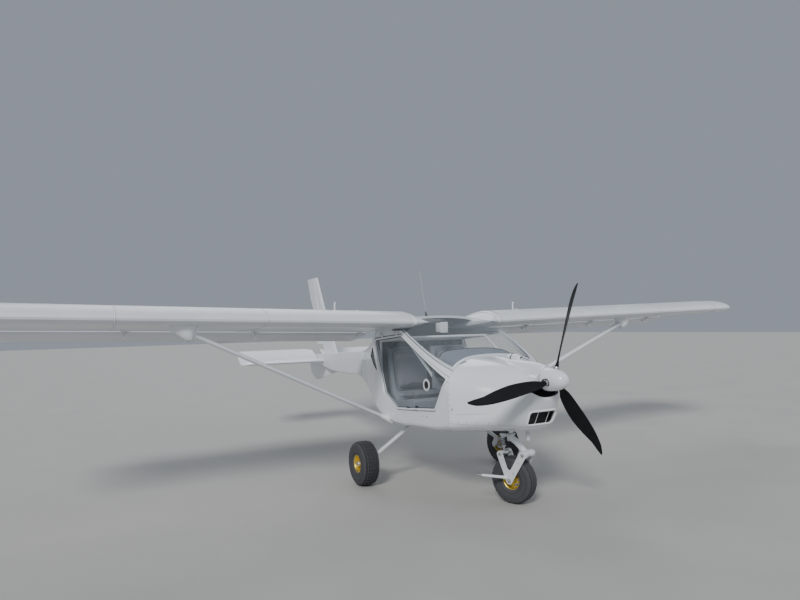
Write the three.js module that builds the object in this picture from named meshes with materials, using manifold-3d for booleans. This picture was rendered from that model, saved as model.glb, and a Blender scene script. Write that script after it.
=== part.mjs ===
// Light two-seat aircraft: pod cabin, high strut-braced wing, slim tail boom and nose-wheel gear.
// Millimetres. X points to port, Y aft and Z up, with the ground at Z = 0.
// Stations are measured aft along the body; the whole is centred on its length at the end.
import * as THREE from 'three';
import { mergeVertices } from 'three/addons/utils/BufferGeometryUtils.js';
import Module from 'manifold-3d';

const wasm = await Module();
wasm.setup();

// Overall sizes
const SPINNER_TIP = 108;
const TAIL_END = 6230;
const HALF_SPAN = 4775;
const HEIGHT = 2430;
// Gaps
const SEAT = 0.3;       // between faces that touch
const RUNNING = 0.5;    // round a pin or an axle
const CLEAR = 5;        // round a door or a control surface
// Walls
const COWL_WALL = 8;
const CABIN_WALL = 24;
const GLASS = 6;
// Propeller
const HUB_STATION = 248;
const HUB_HEIGHT = 1136;
const BLADE_RADIUS = 857;
const FIRST_BLADE_ANGLE = 72.3;
const SPINNER_RADIUS = 100;
const SPINNER_BACK = 312;
// Fuselage
const COWL_FRONT = 325;
const FIREWALL = 942;
const FIREWALL_TOP = 1118;
const FIREWALL_THICK = 12;
const COWL_SPLIT = 745;
const BELLY_SPLIT = 745;
const BULKHEAD = 3240;
const SCREEN_REAR = 1950;
// Wing
const WING_LEAD = 1577;
const WING_LEAD_HEIGHT = 1622;
const WING_SWEEP = 0.0203;
const WING_DIHEDRAL = 0.0288;
const WING_CHORD = 1118;
const WING_THICKNESS = 0.16;
const WING_CAMBER = 0.045;
const WING_INCIDENCE = 5;
const ROOT_X = 550;
const FLAP_AXIS = 2724;
const FLAP_AXIS_HEIGHT = 1508;
const FLAP_NOSE = 20;
const FLAP_CHORD = 268;
const FLAP_DROOP = 20;
const FLAP_BRACKETS = [640, 1820, 3050, 4280];
// Tail
const TAIL_HALF_SPAN = 1325;
const STABILIZER_LEAD = 5245;
const STABILIZER_HEIGHT = 1075;
const ELEVATOR_AXIS = 5600;
const ELEVATOR_CHORD = 350;
const ELEVATOR_UP = 29;
const ELEVATOR_INNER = 70;
const TAIL_NOSE = 19;
const RUDDER_FOOT = [5520, 1328];
const RUDDER_HEAD = [5850, HEIGHT];
// Landing gear
const MAIN_WHEEL = { x: 888, s: 2075, radius: 219, width: 180, bead: 66 };
const NOSE_WHEEL = { x: 0, s: 804, radius: 208, width: 130, bead: 42 };
const AXLE = 14;
const STEER_STATION = 824;
const STEER_TURN = 19.5; // the parked nose wheel is turned to port

// Outline of the cowl and of the cabin, one row a station. Columns: station, how far the sides lead
// the centre line, half width, bottom, top of the lower rounding, foot of the upper rounding, top,
// roundness below and roundness above (2 is an ellipse, more is squarer, less is more pointed).
const COWL_ROWS = [
  [325, 0, 125, 965, 1050, 1100, 1243, 2.2, 1.9],
  [350, 3, 138, 905, 985, 1040, 1249, 2.3, 1.8],
  [400, 8, 160, 815, 905, 960, 1261, 2.4, 1.7],
  [440, 14, 190, 742, 870, 905, 1266, 2.4, 1.7],
  [500, 24, 237, 694, 860, 902, 1270, 2.4, 1.7],
  [650, 55, 345, 668, 845, 912, 1279, 2.5, 1.9],
  [870, 105, 492, 645, 800, 936, 1291, 2.7, 2.3],
  [1080, 145, 592, 625, 760, 960, 1300, 2.9, 2.6],
];
const TAIL_JOINT = [3270, 0, 350, 952, 982, 1275, 1308, 3.4, 2.8];
const CABIN_ROWS = [
  [1080, 145, 592, 625, 760, 960, 1300, 2.9, 2.6],
  [1300, 110, 598, 607, 705, 1170, 1458, 3.2, 2.6],
  [1577, 50, 600, 592, 680, 1400, 1645, 3.5, 2.6],
  [1755, 0, 600, 585, 655, 1530, 1688, 3.5, 2.5],
  [1900, 0, 600, 582, 645, 1522, 1700, 3.5, 2.5],
  [2178, 0, 600, 615, 680, 1500, 1703, 3.5, 2.5],
  [2423, 0, 572, 690, 755, 1468, 1690, 3.5, 2.4],
  [2700, 0, 490, 773, 835, 1340, 1575, 3.4, 2.3],
  [3000, 0, 405, 865, 915, 1290, 1410, 3.4, 2.4],
  TAIL_JOINT,
];
const BOOM_ROWS = [
  TAIL_JOINT,
  [3390, 0, 334, 978, 1005, 1269, 1302, 3.5, 3],
  [4000, 0, 255, 955, 985, 1238, 1266, 3.5, 3],
  [4820, 0, 150, 948, 978, 1188, 1212, 3.5, 3],
  [5300, 0, 92, 985, 1010, 1160, 1183, 3.3, 2.8],
  [5820, 0, 40, 1010, 1030, 1135, 1155, 3, 2.6],
];
const COWL_STATIONS = [325, 350, 375, 400, 420, 440, 470, 520, 600, 700, 810, 940, 1080];
const CABIN_STATIONS = [1080, 1190, 1300, 1440, 1577, 1755, 1900, 2040, 2178, 2300, 2423,
  2560, 2780, 3000, 3270];
const BOOM_STATIONS = [3270, 3390, 3600, 4000, 4400, 4820, 5060, 5300, 5560, 5820];

// Door and window outlines in side view: station, height
const DOOR = [[945, 1131], [1136, 820], [1873, 750], [2146, 888], [2423, 1471], [1755, 1525]];
// The leaf's upper rear corner stops short of the opening's, so that it swings clear
const DOOR_LEAF = DOOR.with(4, [2410, 1470]);
const QUARTER_WINDOW = [[2540, 1363], [2366, 1138], [2686, 1261]];
const DOOR_RAIL = 24;

const paint = (color, roughness, metalness = 0, extra = {}) =>
  new THREE.MeshStandardMaterial({ color, roughness, metalness, ...extra });
const FINISH = {
  white: paint(0xe9edf2, 0.22),
  wing: paint(0xe4e8ee, 0.3),
  black: paint(0x101114, 0.45),
  tyre: paint(0x1d1d1f, 0.9),
  gold: paint(0xd8a929, 0.35, 0.4),
  steel: paint(0xb9bcc0, 0.35, 0.9),
  engine: paint(0x4a4c50, 0.6, 0.5),
  glass: paint(0xdde6ec, 0.05, 0, { transparent: true, opacity: 0.3 }),
  panel: paint(0x3d434c, 0.7),
  seat: paint(0x2c2f36, 0.95),
};

// Basic tools

// A closed solid from a closed three.js geometry, turned right side out where it needs it.
function solid(geometry) {
  const bare = geometry.clone();
  bare.deleteAttribute('normal');
  bare.deleteAttribute('uv');
  const merged = mergeVertices(bare, 1e-4);
  const place = merged.attributes.position.array;
  const corners = merged.index.array;
  let volume = 0;
  const [a, b, c] = [new THREE.Vector3(), new THREE.Vector3(), new THREE.Vector3()];
  const faces = [];
  for (let i = 0; i < corners.length; i += 3) {
    const [p, q, r] = [corners[i], corners[i + 1], corners[i + 2]];
    if (p === q || q === r || r === p) continue;
    faces.push([p, q, r]);
    a.fromArray(place, p * 3);
    b.fromArray(place, q * 3);
    c.fromArray(place, r * 3);
    volume += a.dot(b.cross(c));
  }
  const outward = volume > 0 ? faces : faces.map(([p, q, r]) => [p, r, q]);
  const mesh = new wasm.Mesh({
    numProp: 3,
    vertProperties: new Float32Array(place),
    triVerts: new Uint32Array(outward.flat()),
  });
  return new wasm.Manifold(mesh);
}

function surface(shape) {
  const { vertProperties, triVerts } = shape.getMesh();
  const geometry = new THREE.BufferGeometry();
  geometry.setAttribute('position', new THREE.BufferAttribute(new Float32Array(vertProperties), 3));
  geometry.setIndex(new THREE.BufferAttribute(new Uint32Array(triVerts), 1));
  geometry.computeVertexNormals();
  return geometry;
}

const join = (...shapes) => shapes.flat().reduce((whole, next) => whole.add(next));
const cut = (shape, ...tools) => tools.flat().reduce((rest, tool) => rest.subtract(tool), shape);
const mirrored = (shape) => solid(surface(shape).scale(-1, 1, 1));
const onSide = (shape, side) => (side > 0 ? shape : mirrored(shape));
const vec = (x, y, z) => new THREE.Vector3(x, y, z);
const radians = THREE.MathUtils.degToRad;

// A box from its lowest and highest corners.
function box([x0, y0, z0], [x1, y1, z1]) {
  const geometry = new THREE.BoxGeometry(x1 - x0, y1 - y0, z1 - z0);
  return solid(geometry.translate((x0 + x1) / 2, (y0 + y1) / 2, (z0 + z1) / 2));
}

// A round bar from one point to another, narrowing to the second radius where one is given.
function bar(from, to, radius, farRadius = radius, sides = 12) {
  const [start, end] = [vec(...from), vec(...to)];
  const along = end.clone().sub(start);
  const geometry = new THREE.CylinderGeometry(farRadius, radius, along.length(), sides);
  const turn = new THREE.Quaternion().setFromUnitVectors(vec(0, 1, 0), along.clone().normalize());
  geometry.applyQuaternion(turn);
  const middle = start.add(end).multiplyScalar(0.5);
  return solid(geometry.translate(middle.x, middle.y, middle.z));
}

// A flat bar from one point to another, `wide` across the given direction and `thick` across both.
function beam(from, to, wide, thick, across = [0, 1, 0]) {
  const [start, end] = [vec(...from), vec(...to)];
  const along = end.clone().sub(start);
  const geometry = new THREE.BoxGeometry(along.length(), wide, thick);
  const lengthwise = along.clone().normalize();
  const normal = lengthwise.clone().cross(vec(...across)).normalize();
  const widthwise = normal.clone().cross(lengthwise);
  geometry.applyMatrix4(new THREE.Matrix4().makeBasis(lengthwise, widthwise, normal));
  const middle = start.add(end).multiplyScalar(0.5);
  return solid(geometry.translate(middle.x, middle.y, middle.z));
}

// A closed outline with its corners rounded.
function roundedShape(points, radius) {
  const shape = new THREE.Shape();
  points.forEach(([x, y], i) => {
    const corner = new THREE.Vector2(x, y);
    const before = new THREE.Vector2(...points.at(i - 1));
    const after = new THREE.Vector2(...points[(i + 1) % points.length]);
    const start = corner.clone().add(before.sub(corner).setLength(radius));
    const end = corner.clone().add(after.sub(corner).setLength(radius));
    if (i === 0) shape.moveTo(start.x, start.y);
    else shape.lineTo(start.x, start.y);
    shape.quadraticCurveTo(x, y, end.x, end.y);
  });
  shape.closePath();
  return shape;
}

// A plate whose outline is drawn in side view (station, height), from x0 to x1.
function sidePlate(points, x0, x1, radius = 0) {
  const outline = points.map(([s, z]) => new THREE.Vector2(s, z));
  const shape = radius > 0 ? roundedShape(points, radius) : new THREE.Shape(outline);
  const options = { depth: x1 - x0, bevelEnabled: false, curveSegments: 3 };
  const geometry = new THREE.ExtrudeGeometry(shape, options);
  geometry.applyMatrix4(new THREE.Matrix4().makeBasis(vec(0, 1, 0), vec(0, 0, 1), vec(1, 0, 0)));
  return solid(geometry.translate(x0, 0, 0));
}

// A plate whose outline is drawn in front view (x, height), from station y0 to y1.
function frontPlate(points, y0, y1, radius = 0) {
  const outline = points.map(([x, z]) => new THREE.Vector2(x, z));
  const shape = radius > 0 ? roundedShape(points, radius) : new THREE.Shape(outline);
  const options = { depth: y1 - y0, bevelEnabled: false, curveSegments: 3 };
  const geometry = new THREE.ExtrudeGeometry(shape, options);
  geometry.rotateX(Math.PI / 2);
  return solid(geometry.translate(0, y1, 0));
}

// An outline drawn inwards by a distance, edge by edge; it runs anticlockwise or clockwise.
function insetOutline(points, distance) {
  const count = points.length;
  let area = 0;
  points.forEach(([x, y], i) => {
    const [nx, ny] = points[(i + 1) % count];
    area += x * ny - nx * y;
  });
  const turn = Math.sign(area);
  const edges = points.map(([x, y], i) => {
    const [nx, ny] = points[(i + 1) % count];
    const length = Math.hypot(nx - x, ny - y);
    const [dx, dy] = [(nx - x) / length, (ny - y) / length];
    return { x: x - dy * distance * turn, y: y + dx * distance * turn, dx, dy };
  });
  return edges.map((edge, i) => {
    const last = edges.at(i - 1);
    const cross = last.dx * edge.dy - last.dy * edge.dx;
    const t = ((edge.x - last.x) * edge.dy - (edge.y - last.y) * edge.dx) / cross;
    return [last.x + last.dx * t, last.y + last.dy * t];
  });
}

// A skin stretched over rings of equal numbers of points, closed at both ends.
function loft(rings) {
  const count = rings[0].length;
  const geometry = new THREE.CylinderGeometry(1, 1, 1, count, rings.length - 1);
  const centre = (ring) => ring.reduce((sum, p) => sum.add(p), vec(0, 0, 0)).divideScalar(count);
  const place = geometry.attributes.position;
  for (let i = 0; i < place.count; i += 1) {
    const [x, y, z] = [place.getX(i), place.getY(i), place.getZ(i)];
    const ring = rings[Math.round((0.5 - y) * (rings.length - 1))];
    const step = Math.round((Math.atan2(x, z) / (2 * Math.PI) + 1) * count) % count;
    const point = Math.hypot(x, z) < 0.5 ? centre(ring) : ring[step];
    place.setXYZ(i, point.x, point.y, point.z);
  }
  return solid(geometry);
}

// A row of a table at any station, on a smooth curve through the rows.
function rowAt(table, station) {
  let i = 0;
  while (i < table.length - 2 && station > table[i + 1][0]) i += 1;
  const [from, to] = [table[i], table[i + 1]];
  const before = table[Math.max(i - 1, 0)];
  const after = table[Math.min(i + 2, table.length - 1)];
  const span = to[0] - from[0];
  const t = (station - from[0]) / span;
  return from.map((start, k) => {
    const slopeIn = ((to[k] - before[k]) / (to[0] - before[0])) * span;
    const slopeOut = ((after[k] - start) / (after[0] - from[0])) * span;
    const rise = to[k] - start;
    const bend = 3 * rise - 2 * slopeIn - slopeOut;
    const twist = slopeIn + slopeOut - 2 * rise;
    return start + t * (slopeIn + t * (bend + t * twist));
  });
}

// One ring of the body at a station, drawn inwards by `inset`.
function bodyRing(table, station, inset = 0) {
  const [s, lead, width, bottom, low, high, top, below, above] = rowAt(table, station);
  const half = width - inset;
  const port = [];
  const LOWER = 4;
  const UPPER = 6;
  for (let i = 0; i <= LOWER; i += 1) {
    const angle = (i / LOWER) * (Math.PI / 2);
    const x = half * Math.sin(angle) ** (2 / below);
    const z = low - (low - bottom - inset) * Math.cos(angle) ** (2 / below);
    port.push([x, z]);
  }
  for (let i = 0; i <= UPPER; i += 1) {
    const angle = (i / UPPER) * (Math.PI / 2);
    const x = half * Math.max(Math.cos(angle), 0) ** (2 / above);
    const z = high + (top - inset - high) * Math.sin(angle) ** (2 / above);
    port.push([i === UPPER ? 0 : x, z]);
  }
  port[0][0] = 0;
  const starboard = port.slice(1, -1).reverse().map(([x, z]) => [-x, z]);
  return [...port, ...starboard].map(([x, z]) => vec(x, s - lead * (x / width) ** 2, z));
}

function body(table, stations, inset = 0, frontShift = 0, rearShift = 0) {
  const rings = stations.map((station) => bodyRing(table, station, inset));
  rings[0].forEach((point) => point.setY(point.y + frontShift));
  rings.at(-1).forEach((point) => point.setY(point.y + rearShift));
  return loft(rings);
}

// The assembly
const aircraft = new THREE.Group();
aircraft.position.y = -(SPINNER_TIP + TAIL_END) / 2;

function addPart(name, shape, material, position = [0, 0, 0]) {
  const mesh = new THREE.Mesh(surface(shape), material);
  mesh.name = name;
  mesh.position.set(...position);
  aircraft.add(mesh);
}

const SIDES = [['left', 1], ['right', -1]];

// Body skins that several pieces share
const cowlSkin = body(COWL_ROWS, COWL_STATIONS);
const cabinSkin = body(CABIN_ROWS, CABIN_STATIONS, 0, SEAT);
const cabinHollow = body(CABIN_ROWS, [...CABIN_STATIONS.slice(0, -1), BULKHEAD], CABIN_WALL, -20);
const boomSkin = body(BOOM_ROWS, BOOM_STATIONS, 0, SEAT);
// The space inside the walls, which what stands or hangs in the cabin just fills
const roomStations = [...CABIN_STATIONS.slice(0, -1), BULKHEAD - SEAT];
const cabinRoom = body(CABIN_ROWS, roomStations, CABIN_WALL + SEAT, -20);
const cowlRoom = body(COWL_ROWS, COWL_STATIONS, CABIN_WALL + SEAT, 0, 20);
const bodyEnvelope = join(
  body(COWL_ROWS, COWL_STATIONS, -SEAT, -SEAT),
  body(CABIN_ROWS, CABIN_STATIONS, -SEAT, -1),
);

// Wing section: points round the profile from the upper trailing edge forward and back below.
function profile(chord, thickness, camber, steps = 8) {
  const crest = 0.35;
  const edge = 3;
  const upper = [];
  const lower = [];
  for (let i = 0; i <= steps; i += 1) {
    const u = (1 + Math.cos((Math.PI * i) / steps)) / 2;
    const side = u < crest ? crest : 1 - crest;
    const mean = camber * chord * (1 - ((u - crest) / side) ** 2);
    const cubic = -0.126 * u - 0.3516 * u ** 2 + 0.2843 * u ** 3 - 0.1015 * u ** 4;
    const half = 5 * thickness * chord * (0.2969 * Math.sqrt(u) + cubic) + edge * u;
    upper.push([u * chord, mean + half]);
    lower.unshift([u * chord, mean - half]);
  }
  return [...upper, ...lower.slice(1)];
}

// Columns: distance from the centre line, share of the thickness, share of the chord, step aft
const WING_ROWS = [
  [385, 0.18, 0.93, -20],
  [430, 0.5, 0.97, -18],
  [480, 0.8, 0.99, -8],
  [550, 1, 1, 0],
  [4380, 1, 1, 0],
  [4700, 0.96, 1, 0],
  [4755, 0.84, 0.965, 22],
  [HALF_SPAN, 0.66, 0.92, 55],
];

function wingRing([x, fullness, share, step], grow = 0) {
  const lead = WING_LEAD + WING_SWEEP * x + step;
  const height = WING_LEAD_HEIGHT + WING_DIHEDRAL * x;
  const tilt = radians(WING_INCIDENCE);
  const outline = profile(WING_CHORD * share, WING_THICKNESS * fullness, WING_CAMBER * fullness);
  return outline.map(([u, v]) => {
    const out = v + Math.sign(v) * grow;
    const along = u + (u < WING_CHORD / 2 ? -grow : grow);
    return vec(x, lead + along * Math.cos(tilt) + out * Math.sin(tilt),
      height - along * Math.sin(tilt) + out * Math.cos(tilt));
  });
}

const wingBlank = loft(WING_ROWS.map((row) => wingRing(row)));
const wingPocket = loft(WING_ROWS.map((row) => wingRing(row, SEAT + 0.2)));

// A point on the flaperon's hinge line at a distance from the centre line
const flapAxis = (x) => [x, FLAP_AXIS + WING_SWEEP * x, FLAP_AXIS_HEIGHT + WING_DIHEDRAL * x];

// A hinged surface's section: a round nose on its axis and a thin trailing edge.
function hingedRing([x, y, z], nose, chord, droop, skew = 0) {
  const STEPS = 8;
  const points = [];
  const turn = radians(-droop);
  for (let i = 0; i <= STEPS; i += 1) {
    const angle = Math.PI / 2 + (i / STEPS) * Math.PI;
    points.push([nose * Math.cos(angle), nose * Math.sin(angle), 0]);
  }
  const edge = 2;
  points.push([chord, -edge, skew], [chord, edge, skew]);
  return points.map(([u, v, dx]) => vec(x + dx,
    y + u * Math.cos(turn) - v * Math.sin(turn), z + u * Math.sin(turn) + v * Math.cos(turn)));
}

// The streamlined cuff over the strut's upper end. Columns: distance from the centre line, half
// length, underside.
const CUFF_ROWS = [[2528, 25, 1612], [2590, 82, 1521], [2622, 88, 1521], [2700, 68, 1572],
  [2759, 16, 1605]];
const CUFF_STATION = 1805;
const CUFF_TOP = 1668;
function strutCuff(grow = 0) {
  const section = [[-1, 0.45], [-0.7, 0], [0.6, 0], [1, 0.45], [1, 1], [-1, 1]];
  const rings = CUFF_ROWS.map(([x, half, low], i) => {
    const end = Math.sign(i - 2) * (i % 4 === 0 ? grow : 0);
    return section.map(([along, rise]) => vec(x + end, CUFF_STATION + along * (half + grow),
      low - grow + rise * (CUFF_TOP - low)));
  });
  return loft(rings);
}

function buildWing() {
  const flapReach = 60;
  const channel = bar(flapAxis(ROOT_X - flapReach), flapAxis(HALF_SPAN), FLAP_NOSE + RUNNING, undefined, 32);
  const brackets = FLAP_BRACKETS.map((x) => {
    const [, s, z] = flapAxis(x);
    const outline = [[s - 215, z + 62], [s - 60, z + 52], [s - 22, z + 22], [s - 12, z - 8],
      [s - 12, z - 34], [s - 40, z - 38]];
    return cut(sidePlate(outline, x - 5, x + 5), channel);
  });
  const [ventX, ventS, ventTop] = [1150, 2000, 1850];
  const vent = join(bar([ventX, ventS, 1720], [ventX, ventS, ventTop], 6, 6, 8),
    bar([ventX, ventS + 5, ventTop - 3], [ventX, ventS - 35, ventTop - 3], 6, 6, 8));
  return join(wingBlank, brackets, strutCuff(), vent);
}

function buildFlaperon() {
  const inner = hingedRing(flapAxis(ROOT_X - 15), FLAP_NOSE, FLAP_CHORD, FLAP_DROOP, 75);
  const outer = hingedRing(flapAxis(4690), FLAP_NOSE, FLAP_CHORD, FLAP_DROOP);
  return loft([inner, outer]);
}

// Strut: a streamlined bar from the cabin's lower corner to the wing
const STRUT_FOOT = [560, 2121, 617];
const STRUT_HEAD = [2640, 1787, 1596];
function buildStrut() {
  const [foot, head] = [vec(...STRUT_FOOT), vec(...STRUT_HEAD)];
  const along = head.clone().sub(foot).normalize();
  const forward = vec(0, -1, 0).addScaledVector(along, along.y).normalize();
  const up = forward.clone().cross(along);
  const ring = (centre) => Array.from({ length: 14 }, (_, i) => {
    const angle = (i / 14) * 2 * Math.PI;
    return centre.clone().addScaledVector(forward, 40 * Math.cos(angle))
      .addScaledVector(up, 20 * Math.sin(angle));
  });
  const blade = loft([ring(foot), ring(head)]);
  return cut(blade, bodyEnvelope, wingPocket, strutCuff(SEAT));
}

// Cowl: two shells with an oval opening under the spinner and a wide chin intake
const INTAKE = [[-132, 756], [132, 756], [136, 860], [-136, 860]];
const INTAKE_BARS = [-58, 58];
const INTAKE_LIP = 14;
const NOSE_OPENING = { height: 1062, wide: 160, tall: 77, rear: 410 };
const SHAFT_HOLE = { radius: 70, rear: 345 };
function buildCowl() {
  const stations = [COWL_FRONT + 12, ...COWL_STATIONS.slice(1)];
  const hollow = body(COWL_ROWS, stations, COWL_WALL, 0, 20);
  const [front, rear] = [COWL_FRONT - 20, 480];
  const proud = 5;
  const lip = frontPlate(insetOutline(INTAKE, -INTAKE_LIP), front, rear, 22)
    .intersect(body(COWL_ROWS, COWL_STATIONS, -proud));
  const bars = INTAKE_BARS.map((x) => box([x - 4, front, 700], [x + 4, rear, 900]));
  const mouth = cut(frontPlate(INTAKE, front, rear, 18), bars);
  const oval = Array.from({ length: 32 }, (_, i) => {
    const angle = (i / 32) * 2 * Math.PI;
    return [NOSE_OPENING.wide * Math.cos(angle), NOSE_OPENING.height + NOSE_OPENING.tall * Math.sin(angle)];
  });
  const shaftHole = bar([0, front, HUB_HEIGHT], [0, SHAFT_HOLE.rear, HUB_HEIGHT],
    SHAFT_HOLE.radius, SHAFT_HOLE.radius, 32);
  const noseHole = join(frontPlate(oval, front, NOSE_OPENING.rear), shaftHole);
  const whole = cut(join(cowlSkin, lip), hollow, mouth, noseHole);
  const gearHole = bar([0, STEER_STATION, 500], [0, STEER_STATION, 720], 40, 40, 24);
  const pipeHole = bar([0, 590, 500], [0, 590, 740], 26, 26, 20);
  const wide = 700;
  const above = box([-wide, front, COWL_SPLIT], [wide, 1200, 1500]);
  const below = box([-wide, front, 400], [wide, 1200, COWL_SPLIT - SEAT]);
  return { upper: whole.intersect(above), lower: cut(whole.intersect(below), gearHole, pipeHole) };
}

// Cabin: belly tub, frame, windscreen, quarter windows and the door openings
function screenZone(grow) {
  const offset = 40 - grow;
  const [front, , , , , top] = DOOR;
  const length = Math.hypot(top[0] - front[0], top[1] - front[1]);
  const [nx, nz] = [-(top[1] - front[1]) / length, (top[0] - front[0]) / length];
  const foot = [front[0] + nx * offset, front[1] + nz * offset];
  const head = [top[0] + nx * offset, top[1] + nz * offset];
  const slope = (head[1] - foot[1]) / (head[0] - foot[0]);
  const ahead = 840;
  const rear = SCREEN_REAR + grow;
  const outline = [[ahead, foot[1] - slope * (foot[0] - ahead)], head, [rear, head[1]],
    [rear, 1800], [ahead, 1800]];
  return sidePlate(outline, -700, 700);
}

function skinLayer(depth, from = 0) {
  const outer = from > 0 ? body(CABIN_ROWS, CABIN_STATIONS, from, -20, 20) : cabinSkin;
  return cut(outer, body(CABIN_ROWS, CABIN_STATIONS, depth, -20, 20));
}

function sideCut(outline, side, radius) {
  return onSide(sidePlate(outline, 200, 700, radius), side);
}

// Door hinge line along the door's top edge, just outside the skin
const HINGE_X = 608;
const hingeLine = (s) => [HINGE_X, s, 1536 - ((s - 1755) * 54) / 668];
const HINGES = [1840, 2170];
function hingeKnuckle(from, to, onDoor) {
  const round = bar(hingeLine(from), hingeLine(to), 7, 7, 12);
  const [x, , z] = hingeLine((from + to) / 2);
  if (!onDoor) return join(round, box([x - 16, from + 1, z], [x, to - 1, z + 26]));
  const strap = box([x - 7, from + 1, z - 36], [x, to - 1, z]);
  const foot = box([x - 11, from + 1, z - 36], [x, to - 1, z - 20]);
  return join(round, strap, foot);
}

function buildCabin(wings) {
  const openings = SIDES.flatMap(([, side]) => [
    sideCut(DOOR, side, 30), sideCut(QUARTER_WINDOW, side, 24)]);
  const shell = cut(cabinSkin, cabinHollow, openings, screenZone(SEAT), wings);
  const knuckles = HINGES.flatMap((s) => [[s - 50, s - 20.4], [s + 20.4, s + 50]])
    .map(([from, to]) => cut(hingeKnuckle(from, to, false), wings[0]));
  const hinges = join(...knuckles);
  const frame = join(shell, hinges, mirrored(hinges));
  const below = box([-700, 800, 400], [700, 3400, BELLY_SPLIT - SEAT]);
  const above = box([-700, 800, BELLY_SPLIT], [700, 3400, 1800]);
  return { belly: frame.intersect(below), frame: frame.intersect(above) };
}

function buildDoor() {
  const plate = skinLayer(CABIN_WALL).intersect(sideCut(insetOutline(DOOR_LEAF, CLEAR), 1, 28));
  const pane = insetOutline(DOOR_LEAF, CLEAR + DOOR_RAIL);
  const knuckles = HINGES.map((s) => hingeKnuckle(s - 20, s + 20, true));
  const frame = join(cut(plate, sideCut(pane, 1, 22)), knuckles);
  const glass = skinLayer(GLASS + 6, 6).intersect(sideCut(insetOutline(pane, SEAT), 1, 22));
  return { frame, glass };
}

function buildWindscreen(wings) {
  return cut(skinLayer(GLASS).intersect(screenZone(0)), wings);
}

function buildQuarterWindow() {
  return skinLayer(GLASS).intersect(sideCut(insetOutline(QUARTER_WINDOW, SEAT), 1, 24));
}

function buildFirewall() {
  const slab = box([-700, FIREWALL + SEAT, 500], [700, FIREWALL + FIREWALL_THICK, FIREWALL_TOP]);
  return join(cowlRoom, cabinRoom).intersect(slab);
}

// Engine: one plain block with its gearbox, shaft and four mount tubes
const ENGINE = { low: [-190, 600, 790], high: [190, 900, 1085] };
function buildEngine() {
  const block = box(ENGINE.low, ENGINE.high);
  const gearbox = join(bar([0, 400, HUB_HEIGHT], [0, 620, HUB_HEIGHT], 60, 60, 24),
    box([-60, 540, 900], [60, 620, HUB_HEIGHT]));
  const shaft = bar([0, SPINNER_BACK - 10, HUB_HEIGHT], [0, 420, HUB_HEIGHT], 26, 26, 20);
  const mounts = [-1, 1].flatMap((side) => [830, 1060].map((z) =>
    bar([side * 170, 890, z], [side * 170, FIREWALL, z], 11)));
  return join(block, gearbox, shaft, mounts);
}

// Propeller: columns are radius, chord, thickness, shift along the chord, pitch
const BLADE_ROWS = [
  [40, 40, 38, 0, 60],
  [115, 44, 34, 0, 52],
  [170, 84, 22, -8, 46],
  [280, 108, 16, -20, 42],
  [430, 118, 13, -30, 38],
  [580, 100, 10, -32, 32],
  [700, 70, 8, -34, 24],
  [790, 51, 7, -47, 19],
  [BLADE_RADIUS, 20, 4, -66, 16],
];

function buildBlade(angle) {
  const outward = vec(Math.cos(angle), 0, Math.sin(angle));
  const turning = vec(-Math.sin(angle), 0, Math.cos(angle));
  const rings = BLADE_ROWS.map(([radius, chord, thick, sweep, pitch]) => {
    const [cos, sin] = [Math.cos(radians(pitch)), Math.sin(radians(pitch))];
    const chordwise = turning.clone().multiplyScalar(cos).add(vec(0, -sin, 0));
    const facing = chordwise.clone().cross(outward);
    const middle = outward.clone().multiplyScalar(radius).addScaledVector(chordwise, sweep);
    return Array.from({ length: 10 }, (_, i) => {
      const turn = (i / 10) * 2 * Math.PI;
      return middle.clone().addScaledVector(chordwise, (chord / 2) * Math.cos(turn))
        .addScaledVector(facing, (thick / 2) * Math.sin(turn));
    });
  });
  return loft(rings);
}

const bladeAngles = [0, 1, 2].map((i) => radians(FIRST_BLADE_ANGLE + 120 * i));
function buildPropeller() {
  const back = SPINNER_BACK - 10 - SEAT - HUB_STATION;
  const hub = bar([0, -38, 0], [0, back, 0], 52, 52, 24);
  const blades = bladeAngles.map(buildBlade);
  const sockets = bladeAngles.map((angle) => bar([0, 0, 0],
    [92 * Math.cos(angle), 0, 92 * Math.sin(angle)], 28));
  return join(hub, sockets, blades);
}

function buildSpinner() {
  const start = SPINNER_TIP - HUB_STATION;
  const back = SPINNER_BACK - HUB_STATION;
  const wall = 3;
  const outer = [[0, 0], [27, 4], [46, 17], [66, 42], [78, 70], [88, 112], [95, 155], [SPINNER_RADIUS,
    SPINNER_BACK - SPINNER_TIP]];
  const inner = outer.slice(1, -1).map(([r, s]) => [r - wall, s + wall]).reverse();
  const round = [
    ...outer.map(([r, s]) => [r, s + start]),
    [36, back], [36, back - 10], [SPINNER_RADIUS - wall, back - 10],
    ...inner.map(([r, s]) => [r, s + start]), [0, wall + start],
  ];
  const points = round.map(([r, y]) => new THREE.Vector2(r, y));
  const shell = solid(new THREE.LatheGeometry(points, 24));
  const holes = bladeAngles.map((angle) => bar([60 * Math.cos(angle), 0, 60 * Math.sin(angle)],
    [130 * Math.cos(angle), 0, 130 * Math.sin(angle)], 34, 34, 14));
  return cut(shell, holes);
}

// Wheels, built round their own centre with the axle along X
const BEAD = 81;
const FLANGE = 9;
const WHEEL_STEPS = 24;
function wheelPart(profilePoints, segments) {
  const points = profilePoints.map(([r, x]) => new THREE.Vector2(r, x));
  points.push(points[0].clone());
  const ring = new THREE.LatheGeometry(points, segments).rotateZ(-Math.PI / 2);
  return solid(ring.rotateX(Math.PI / segments));
}

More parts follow.
